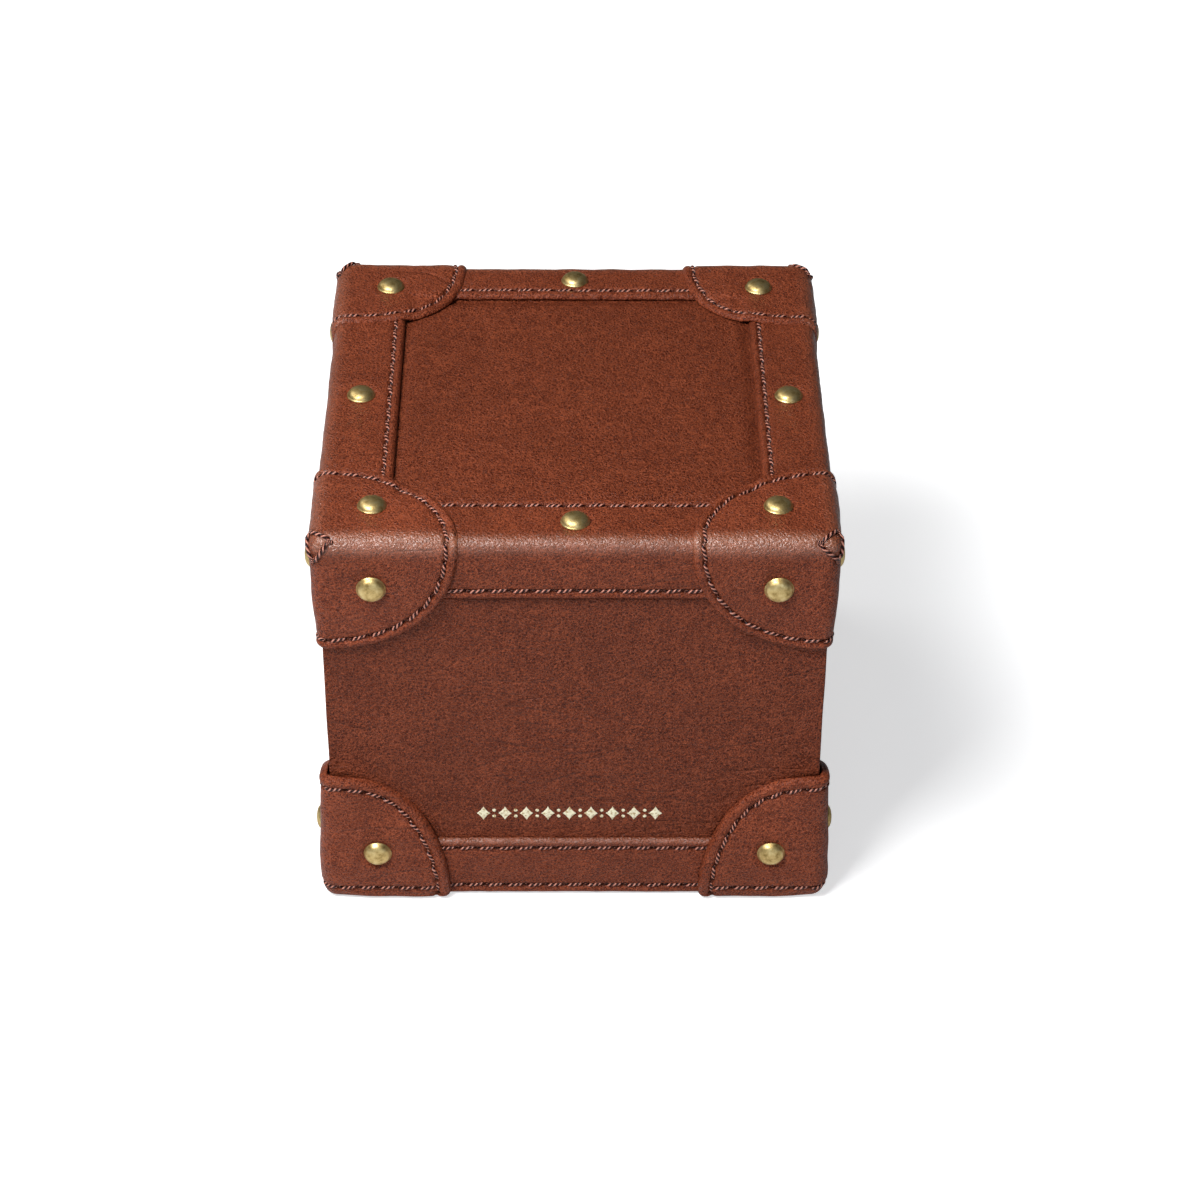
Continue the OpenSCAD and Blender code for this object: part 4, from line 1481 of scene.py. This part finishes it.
def build_cushion():
    """The tray's padded cushion: crowned, with a round recess, a slot for the bow and a soft rolled lip."""
    low, high = box_mm("watch_cushion")
    bottom, top = low[2], high[2]
    slot_floor = bottom + (high_of("recess_pad", 2) - low_of("recess_pad", 2))
    angle = cushion_angles()
    inner = np.full(len(angle), RECESS_R)
    edge, outer = keyhole(angle), cushion_reach(angle)
    way = np.stack([np.sin(angle), np.cos(angle)], axis=1)
    rings = []

    def ring(reach, z):
        rings.append(raised(way * reach[:, None] + [0, RECESS_Y], z))

    for z in (bottom, bottom + 2, slot_floor - 0.3):
        ring(inner, z)
    for share in (0.0, 0.3, 0.6, 0.9):
        ring(inner + share * (edge - inner), slot_floor)
    for z in np.linspace(slot_floor + 0.4, top - CUSHION_LIP, 9):
        ring(edge - 0.25 * math.sin(math.pi * (z - slot_floor) / (top - slot_floor)), z)
    for t in np.linspace(0, math.pi / 2, 8)[1:]:
        ring(edge + CUSHION_LIP * (1 - math.cos(t)), top - CUSHION_LIP + CUSHION_LIP * math.sin(t))
    start, stop = edge + CUSHION_LIP, outer - CUSHION_EDGE
    for share in np.linspace(0, 1, 24)[1:-1]:
        reach = start + share * (stop - start)
        pull = 0.10 * rumple(raised(way * LIP_GIRTH, 0.0), 4.5, 21)
        swell = 0.08 * rumple(raised(way * reach[:, None], 0.0), 15, 22)
        nap = pull * bell(share * (stop - start), 0, 4) + swell
        ring(reach, top + CUSHION_CROWN * math.sin(math.pi * share) ** 0.8 + nap)
    for t in np.linspace(0, math.pi / 2, 8):
        ring(stop + CUSHION_EDGE * math.sin(t), top - CUSHION_EDGE + CUSHION_EDGE * math.cos(t))
    for z in np.linspace(top - CUSHION_EDGE, bottom + 0.8, 9)[1:]:
        ring(outer - 0.12 * math.sin(math.pi * (z - bottom) / (top - bottom)), z)
    ring(outer - 0.25, bottom + 0.25)
    for share in (0.0, 0.33, 0.66, 0.95):
        ring(outer - 0.8 + share * (inner - outer + 0.8), bottom)
    faces = grid_faces(len(rings), len(angle), True, True)
    piece = make_mesh("tray_cushion", np.concatenate(rings), faces)
    finish_piece(piece, "suede", "tray", ["watch_cushion"])


def build_recess_pad():
    """The round pad under the watch, crowned, with a rolled rim."""
    low, high = box_mm("recess_pad")
    reach, roll = high[0] - 0.05, 1.5
    turns = np.linspace(0, 2 * math.pi, 145)[:-1]
    rings = []

    def ring(radius, z):
        flat = np.stack([radius * np.cos(turns), radius * np.sin(turns) + RECESS_Y], axis=1)
        nap = 0.05 * rumple(raised(flat, 0.0), 3.2, 23) * bell(radius, reach - 2.4, 2)
        rings.append(raised(flat, z + (nap if z > low[2] + 1 else 0)))

    for radius in (reach * 0.3, reach * 0.6, reach * 0.9, reach - 0.6):
        ring(radius, low[2])
    for z in np.linspace(low[2] + 0.5, high[2] - roll, 4):
        ring(reach, z)
    for t in np.linspace(0, math.pi / 2, 8)[1:]:
        ring(reach - roll + roll * math.cos(t), high[2] - roll + roll * math.sin(t))
    for radius in np.linspace(reach - roll, 0, 26)[1:-1]:
        inside = 1 - (radius / (reach - roll)) ** 2
        ring(radius, high[2] - 0.35 * bell(radius, reach - 3.2, 0.8) + PAD_CROWN * inside)
    rings = closed_rings(rings, (0, RECESS_Y, low[2]), (0, RECESS_Y, high[2] + PAD_CROWN))
    piece = make_mesh("recess_pad_cover", *rings)
    finish_piece(piece, "suede", "tray", ["recess_pad"])


def build_floor_pad():
    """The thin pad on the floor of the lower compartment, crowned and drawn in between its corners."""
    low, high = box_mm("floor_pad")
    half = (high - low) / 2
    middle = (high + low) / 2
    roll = 0.9
    rings = []

    def ring(inside, z):
        flat = square_ring(half[0] - inside - 0.05, half[1] - inside - 0.05, max(1.6 - inside, 0.5), 60)
        near = 1 - inside / half[0]
        flat[:, 0] *= 1 - near * DRAWN_IN / half[0] * (1 - (flat[:, 1] / half[1]) ** 2)
        flat[:, 1] *= 1 - near * DRAWN_IN / half[1] * (1 - (flat[:, 0] / half[0]) ** 2)
        flat = raised(flat + middle[:2], z)
        if inside > roll:
            flat[:, 2] += 0.06 * rumple(flat, 12, 24)
        rings.append(flat)

    for inside in np.linspace(half[0] * 0.9, 0.5, 5):
        rings.append(raised(square_ring(half[0] - inside, half[1] - inside, 0.5, 60) + middle[:2], low[2]))
    ring(0, low[2] + 0.4)
    for t in np.linspace(0, math.pi / 2, 7):
        ring(roll - roll * math.cos(t), high[2] - roll + roll * math.sin(t))
    for inside in np.linspace(roll, half[0] * 0.97, 30)[1:]:
        ring(inside, high[2] + PAD_CROWN * ease((inside - roll) / 14))
    rings = closed_rings(rings, (*middle[:2], low[2]), (*middle[:2], high[2] + PAD_CROWN))
    piece = make_mesh("floor_pad_cover", *rings)
    finish_piece(piece, "suede", "base", ["floor_pad"])


RIBBON_T = 0.4


def build_ribbon():
    """The loop that lifts the tray: one grosgrain strap, up, over and down, with its selvedges."""
    low, high = box_mm("ribbon_tab")
    turn_r = (high[1] - low[1] - RIBBON_T) / 2
    crown = high[2] - RIBBON_T / 2 - turn_r
    middle_y = (low[1] + high[1]) / 2
    legs = np.linspace(low[2], crown, 40)
    turns = np.linspace(math.pi, 0, 14)[1:-1]
    path = [(middle_y - turn_r, z) for z in legs]
    path += [(middle_y + turn_r * math.cos(t), crown + turn_r * math.sin(t)) for t in turns]
    path += [(middle_y + turn_r, z) for z in legs[::-1]]
    path = np.array(path)
    run = np.gradient(path, axis=0)
    run /= np.linalg.norm(run, axis=1, keepdims=True)
    side = np.stack([-run[:, 1], run[:, 0]], axis=1)
    across = np.concatenate([np.linspace(-1, -0.9, 3), np.linspace(-0.8, 0.8, 9), np.linspace(0.9, 1, 3)])
    selvedge = np.where(np.abs(across) > 0.88, 1.0, 0.8) * np.where(np.abs(across) > 0.99, 0.6, 1)
    thick = 0.5 * RIBBON_T * selvedge
    half_w = (high[0] - low[0]) / 2
    wide = np.concatenate([across, across[::-1]]) * half_w + (low[0] + high[0]) / 2
    proud = np.concatenate([thick, -thick[::-1]])
    verts = np.concatenate([
        np.stack([wide, spot[0] + way[0] * proud, spot[1] + way[1] * proud], axis=1)
        for spot, way in zip(path, side)
    ])
    count = len(wide)
    faces = grid_faces(len(path), count, wrap_columns=True)
    faces.append(tuple(range(count)))
    faces.append(tuple(range(len(verts) - count, len(verts))))
    piece = make_mesh("ribbon_loop", verts, faces)
    place = distances_along(path)
    layer = piece.data.uv_layers.new(name="UVMap")
    for loop in piece.data.loops:
        layer.data[loop.index].uv = (wide[loop.vertex_index % count], place[loop.vertex_index // count])
    finish_piece(piece, "ribbon", "tray", ["ribbon_tab"])


def build_covered_board(node, radius, body):
    """A board wrapped in suede: the node's own shape with its edges rounded by the cloth."""
    work = bmesh.new()
    work.from_mesh(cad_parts[node].data)
    bmesh.ops.remove_doubles(work, verts=work.verts, dist=1e-6)
    bmesh.ops.dissolve_limit(work, angle_limit=math.radians(1), verts=work.verts, edges=work.edges)
    sharp = [e for e in work.edges if len(e.link_faces) == 2 and e.calc_face_angle(0) > math.radians(40)]
    bmesh.ops.bevel(
        work, geom=sharp, offset=radius * MM, segments=3, profile=0.5, affect="EDGES", clamp_overlap=True
    )
    mesh = bpy.data.meshes.new(node + "_wrapped")
    bmesh.ops.triangulate(work, faces=[f for f in work.faces if len(f.verts) > 4])
    work.to_mesh(mesh)
    work.free()
    finish_piece(in_scene(node + "_wrapped", mesh), "suede", body, [node])


# ---- Ornament on the front: a common row of lozenges and dots ----

ORNAMENT_Z = 20.8
ORNAMENT_X = -1.0
ORNAMENT_COUNT = 9
ORNAMENT_PITCH = 4.25
# Width and height of a lozenge, and diameter of a dot
LOZENGE = (2.7, 3.5)
DOT = 0.75
FOIL_PROUD = 0.05


def foil_shape(name, outline, proud):
    """A flat stamped mark of unit size with softened edges, a little proud of the leather."""
    levels = (1.0, -proud), (1.0, 0.4 * proud), (0.94, proud), (0.5, proud)
    rings = [raised(outline * scale, z) for scale, z in levels]
    verts, faces = closed_rings(rings, (0, 0, -proud), (0, 0, proud))
    shape = make_mesh(name, verts / MM, faces)
    shape.hide_render = True
    return shape


def lozenge_outline():
    quarter = lobe(0.5, 0.5, 0.82)[::33]
    there, back = quarter[:-1], quarter[::-1][:-1]
    return np.concatenate([there, back * [-1, 1], there * [-1, -1], back * [1, -1]])


def dot_outline():
    turns = np.arange(12) * 2 * math.pi / 12
    return 0.5 * np.stack([np.cos(turns), np.sin(turns)], axis=1)


def near_ornament(points):
    """1 under the ornament and 0 away from it, so that the covering lies flat there."""
    half = ORNAMENT_COUNT * ORNAMENT_PITCH / 2
    across = ease((half + 5 - np.abs(points[:, 0] - ORNAMENT_X)) / 5)
    up = ease((6 - np.abs(points[:, 2] - ORNAMENT_Z)) / 3.5)
    return across * up * (points[:, 1] < 0)


# ---- Operators, one for each piece or group of like pieces ----

class WatchBoxOperator:
    """Shared settings of the operators."""

    bl_options = {"REGISTER", "UNDO"}

    def execute(self, context):
        self.build()
        return {"FINISHED"}


class WATCHBOX_OT_lid_caps(WatchBoxOperator, bpy.types.Operator):
    """Lay the four stitched three-lobed caps on the lid's corners"""

    bl_idname = "watchbox.lid_caps"
    bl_label = "Lid Caps"

    def build(self):
        rivets = rivet_seats("lid_corner_rivets")
        for key in LID_CAPS:
            build_lid_cap(key, rivets)


class WATCHBOX_OT_foot_caps(WatchBoxOperator, bpy.types.Operator):
    """Lay the four stitched caps round the foot's corners"""

    bl_idname = "watchbox.foot_caps"
    bl_label = "Foot Caps"

    def build(self):
        rivets = rivet_seats("base_rivets")
        for key in FOOT_CAPS:
            build_foot_cap(key, rivets)


class WATCHBOX_OT_bindings(WatchBoxOperator, bpy.types.Operator):
    """Fold the bindings over the lid's edges and round the foot"""

    bl_idname = "watchbox.bindings"
    bl_label = "Bindings"

    def build(self):
        lid_rivets = rivet_seats("lid_edge_rivets")
        for side in SIDES:
            build_lid_strip(side, lid_rivets)
            build_foot_strip(side)


class WATCHBOX_OT_coverings(WatchBoxOperator, bpy.types.Operator):
    """Stretch the covering leather over the base and the lid"""

    bl_idname = "watchbox.coverings"
    bl_label = "Coverings"

    def build(self):
        def slack(ring, offset):
            flat = 0.06 * (1 - near_ornament(ring))
            return np.where((offset < 0.3) & (ring[:, 2] < RIM_Z - 3), flat, 0.0)

        body = ring_piece("base_covering", (CASE_X, CASE_Y), body_section(), 0.35, 60, slack, 5)
        finish_piece(body, "cover", "base", ["body_leather"])
        ends = ((0, 0, LID_TOP), (0, 0, LID_TOP - LEATHER_T))
        lid = ring_piece("lid_covering", (CASE_X, CASE_Y), lid_section(), lid_radius(), 56, None, 6, ends)
        sink_panel(lid)
        finish_piece(lid, "panel", "lid", ["lid_leather"])


PANEL_DIP = 0.5


def sink_panel(lid):
    """The covering dips beside the bindings that are sewn over it, and waves a little between them."""
    points = points_of(lid)
    top = points[:, 2] > LID_TOP - 0.01
    within = inside_window(points)
    dip = PANEL_DIP * bell(within, 0.2, 1.5) * ease((within + 2.5) / 1.5)
    wave = 0.05 * rumple(points, 16.0, 8) * ease(within / 4)
    points[:, 2] += np.where(top, wave - dip, 0)
    lid.data.vertices.foreach_set("co", (points * MM).astype(np.float32).ravel())
    lid.data.update()


class WATCHBOX_OT_rivets(WatchBoxOperator, bpy.types.Operator):
    """Drive the domed brass rivets"""

    bl_idname = "watchbox.rivets"
    bl_label = "Rivets"

    def build(self):
        tree = seat_tree("drive_on_seats")
        for name, node, body in (
            ("lid_cap_rivets", "lid_corner_rivets", "lid"),
            ("lid_binding_rivets", "lid_edge_rivets", "lid"),
            ("foot_cap_rivets", "base_rivets", "base"),
        ):
            found = rivet_seats(node)
            shank = found[0][2] / RIVET_D
            shape = rivet_shape(RIVET_DOME / RIVET_D, shank, RIVET_SHANK_D / RIVET_D)
            seats = [(seat, square_to(out), out, RIVET_D) for seat, out, _ in found]
            values = {"Thickness": RIVET_D * MM, "Slant": 0.0, "Unevenness": 3.1, "Seed": 4}
            piece = spread(name, tree, seats, shape, values, "brass")
            bpy.data.objects.remove(shape)
            finish_piece(piece, "brass", body, [node])


def square_to(out):
    """A direction square to this one."""
    return np.array([0.0, 0.0, 1.0]) if abs(out[2]) < 0.5 else np.array([1.0, 0.0, 0.0])


class WATCHBOX_OT_stitches(WatchBoxOperator, bpy.types.Operator):
    """Sew every cap and binding with twisted waxed thread"""

    bl_idname = "watchbox.stitches"
    bl_label = "Stitches"

    def build(self):
        tree = seat_tree("sew_on_seats")
        shape = stitch_shape()
        own = sizes()
        for body, seats in stitch_seats.items():
            values = {"Thickness": own.thread_thickness, "Slant": 0.14, "Unevenness": 0.06, "Seed": 7}
            finish_piece(spread("thread_" + body, tree, seats, shape, values, "thread"), "thread", body)
        bpy.data.objects.remove(shape)


class WATCHBOX_OT_inside(WatchBoxOperator, bpy.types.Operator):
    """Line the inside, and give the boards, tray and felt their finishes"""

    bl_idname = "watchbox.inside"
    bl_label = "Inside"

    def build(self):
        for side in SIDES:
            build_covered_board("liner_" + side, 0.5, "base")
        for node, body in (
            ("tray_rest_left", "base"), ("tray_rest_right", "base"), ("tray_board", "tray"),
            ("lid_lining_top", "lid"), ("lid_lining_rim", "lid"),
        ):
            build_covered_board(node, 0.35, body)
        for node in (
            "base_board", "wall_board_front", "wall_board_back", "wall_board_left", "wall_board_right",
            "lid_board", "lid_rim_front", "lid_rim_back", "lid_rim_left", "lid_rim_right",
        ):
            dress(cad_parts[node], "board")
        dress(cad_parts["base_cover"], "felt")


class WATCHBOX_OT_pads(WatchBoxOperator, bpy.types.Operator):
    """Pad the tray's cushion, the pad under the watch and the floor, and fix the ribbon loop"""

    bl_idname = "watchbox.pads"
    bl_label = "Pads and Ribbon"

    def build(self):
        build_cushion()
        build_recess_pad()
        build_floor_pad()
        build_ribbon()


class WATCHBOX_OT_ornament(WatchBoxOperator, bpy.types.Operator):
    """Stamp a row of foil lozenges and dots on the front"""

    bl_idname = "watchbox.ornament"
    bl_label = "Ornament"

    def build(self):
        tree = seat_tree("stamp_on_seats")
        first = ORNAMENT_X - (ORNAMENT_COUNT - 1) * ORNAMENT_PITCH / 2
        run, out = np.array([1.0, 0, 0]), np.array([0, -1.0, 0])

        def seat(x, z, span):
            return np.array([x, -CASE_Y, z]), run, out, span

        middles = [first + i * ORNAMENT_PITCH for i in range(ORNAMENT_COUNT)]
        lozenges = [seat(x, ORNAMENT_Z, LOZENGE[0]) for x in middles]
        between = [x + ORNAMENT_PITCH / 2 for x in middles[:-1]]
        dots = [seat(x, ORNAMENT_Z + side * DOT, DOT) for x in between for side in (-1, 1)]
        for name, outline, seats, size in (
            ("foil_lozenges", lozenge_outline(), lozenges, LOZENGE[1]),
            ("foil_dots", dot_outline(), dots, DOT),
        ):
            shape = foil_shape(name + "_shape", outline, FOIL_PROUD / size)
            values = {"Thickness": size * MM, "Slant": 0.0, "Unevenness": 0.02, "Seed": 9}
            piece = spread(name, tree, seats, shape, values, "foil")
            bpy.data.objects.remove(shape)
            finish_piece(piece, "foil", "base")


class WATCHBOX_OT_stage(WatchBoxOperator, bpy.types.Operator):
    """Set the pale floor, the soft lights and the camera"""

    bl_idname = "watchbox.stage"
    bl_label = "Stage"

    def build(self):
        set_floor()
        set_lights()
        set_camera()


# The photograph's camera, worked out from the case's corners and rivets on a 1200 x 1200 frame
CAMERA_PLACE = (-0.0015, -0.5196, 0.428)
CAMERA_PITCH = 36.96
CAMERA_YAW = 0.75
CAMERA_ROLL = 0.51
CAMERA_FOCAL_PX = 3140
FRAME_PX = 1200
SENSOR_MM = 36


def set_camera():
    pitch, yaw, roll = (math.radians(a) for a in (CAMERA_PITCH, CAMERA_YAW, CAMERA_ROLL))
    ahead = Vector((math.sin(yaw) * math.cos(pitch), math.cos(yaw) * math.cos(pitch), -math.sin(pitch)))
    right = Vector((math.cos(yaw), -math.sin(yaw), 0))
    up = right.cross(ahead)
    rolled_right = right * math.cos(roll) + up * math.sin(roll)
    rolled_up = up * math.cos(roll) - right * math.sin(roll)
    data = bpy.data.cameras.new("camera")
    data.sensor_width = SENSOR_MM
    data.lens = SENSOR_MM * CAMERA_FOCAL_PX / FRAME_PX
    data.clip_start = 0.01
    camera = in_scene("camera", data)
    turn = Matrix((rolled_right, rolled_up, -ahead)).transposed().to_4x4()
    camera.matrix_world = Matrix.Translation(CAMERA_PLACE) @ turn
    bpy.context.scene.camera = camera


# The floor is opal acrylic lit from below, which keeps the shadows as light as the photograph's. Its glow is
# only seen and lights nothing, so the leather mirrors the floor as it would a plain pale sheet.
FLOOR_GLOW = 0.6


def set_floor():
    work = bmesh.new()
    bmesh.ops.create_circle(work, cap_ends=True, radius=6.0, segments=96)
    mesh = bpy.data.meshes.new("floor")
    work.to_mesh(mesh)
    work.free()
    material, tree, shader = new_material("lit_opal_acrylic_floor")
    place = add(tree, "ShaderNodeTexCoord").outputs["Object"]
    away = add(tree, "ShaderNodeVectorMath", {"operation": "LENGTH"}, {0: place})
    glow = add(
        tree, "ShaderNodeMapRange",
        {"From Min": 0.07, "From Max": 0.32, "To Min": FLOOR_GLOW, "interpolation_type": "SMOOTHSTEP"},
        {"Value": away},
    )
    seen = add(tree, "ShaderNodeLightPath")
    shown = add(
        tree, "ShaderNodeMath", {"operation": "MULTIPLY"}, {0: glow, 1: seen.outputs["Is Camera Ray"]}
    )
    fill(
        tree, shader,
        {
            "Base Color": linear("#e6e6e6"), "Roughness": 0.9, "Specular IOR Level": 0.1,
            "Emission Color": linear("#ffffff"),
        },
        {"Emission Strength": shown},
    )
    mesh.materials.append(material)
    in_scene("floor", mesh)


def area_light(name, place, target, size, power, tint="#ffffff"):
    """A soft rectangular light, aimed at a point."""
    data = bpy.data.lights.new(name, "AREA")
    data.shape = "RECTANGLE"
    data.size, data.size_y = size
    data.energy = power
    data.color = linear(tint)[:3]
    light = in_scene(name, data)
    way = Vector(target) - Vector(place)
    light.matrix_world = Matrix.Translation(place) @ way.to_track_quat("-Z", "Y").to_matrix().to_4x4()


WORLD_LIGHT = 0.07
KEY_WATTS = 4.05
LEFT_BACK_WATTS = 1.1
FRONT_FILL_WATTS = 1.95


def set_lights():
    scene = bpy.context.scene
    scene.view_settings.view_transform = "Standard"
    world = bpy.data.worlds.new("studio")
    scene.world = world
    world.use_nodes = True
    tree = world.node_tree
    tree.nodes.clear()
    seen = add(tree, "ShaderNodeLightPath")
    lit = add(tree, "ShaderNodeBackground", {"Color": linear("#f2f3f5"), "Strength": WORLD_LIGHT})
    shown = add(tree, "ShaderNodeBackground", {"Color": linear("#ffffff"), "Strength": 1.0})
    mix = add(tree, "ShaderNodeMixShader", links={0: seen.outputs["Is Camera Ray"], 1: lit, 2: shown})
    add(tree, "ShaderNodeOutputWorld", links={"Surface": mix})
    area_light("key", (-0.22, -0.25, 0.54), (0, 0, 0.05), (0.22, 0.22), KEY_WATTS)
    area_light("left_back", (-0.45, 0.26, 0.55), (0, 0, 0.05), (0.4, 0.4), LEFT_BACK_WATTS)
    area_light("front_fill", (0.1, -0.9, 0.35), (0, 0, 0.04), (0.8, 0.4), FRONT_FILL_WATTS, "#dfebff")


# ---- Panel and registration ----

BUILDERS = (
    WATCHBOX_OT_stage,
    WATCHBOX_OT_coverings,
    WATCHBOX_OT_bindings,
    WATCHBOX_OT_foot_caps,
    WATCHBOX_OT_lid_caps,
    WATCHBOX_OT_rivets,
    WATCHBOX_OT_stitches,
    WATCHBOX_OT_inside,
    WATCHBOX_OT_pads,
    WATCHBOX_OT_ornament,
)


class WATCHBOX_PT_panel(bpy.types.Panel):
    """Sizes, colours and pieces of the watch box"""

    bl_idname = "WATCHBOX_PT_panel"
    bl_label = "Watch Box"
    bl_space_type = "VIEW_3D"
    bl_region_type = "UI"
    bl_category = "Watch Box"

    def draw(self, context):
        for group in (context.scene.watchbox_sizes, context.scene.watchbox_colours):
            column = self.layout.column(align=True)
            for key in group.__annotations__:
                column.prop(group, key)
        for builder in BUILDERS:
            self.layout.operator(builder.bl_idname)


CLASSES = (WATCHBOX_PG_sizes, WATCHBOX_PG_colours, *BUILDERS, WATCHBOX_PT_panel)


def register():
    for item in CLASSES:
        bpy.utils.register_class(item)
    bpy.types.Scene.watchbox_sizes = bpy.props.PointerProperty(type=WATCHBOX_PG_sizes)
    bpy.types.Scene.watchbox_colours = bpy.props.PointerProperty(type=WATCHBOX_PG_colours)


def unregister():
    del bpy.types.Scene.watchbox_colours
    del bpy.types.Scene.watchbox_sizes
    for item in reversed(CLASSES):
        bpy.utils.unregister_class(item)


def main():
    register()
    for builder in BUILDERS:
        group, name = builder.bl_idname.split(".")
        getattr(getattr(bpy.ops, group), name)()


if __name__ == "__main__":
    main()
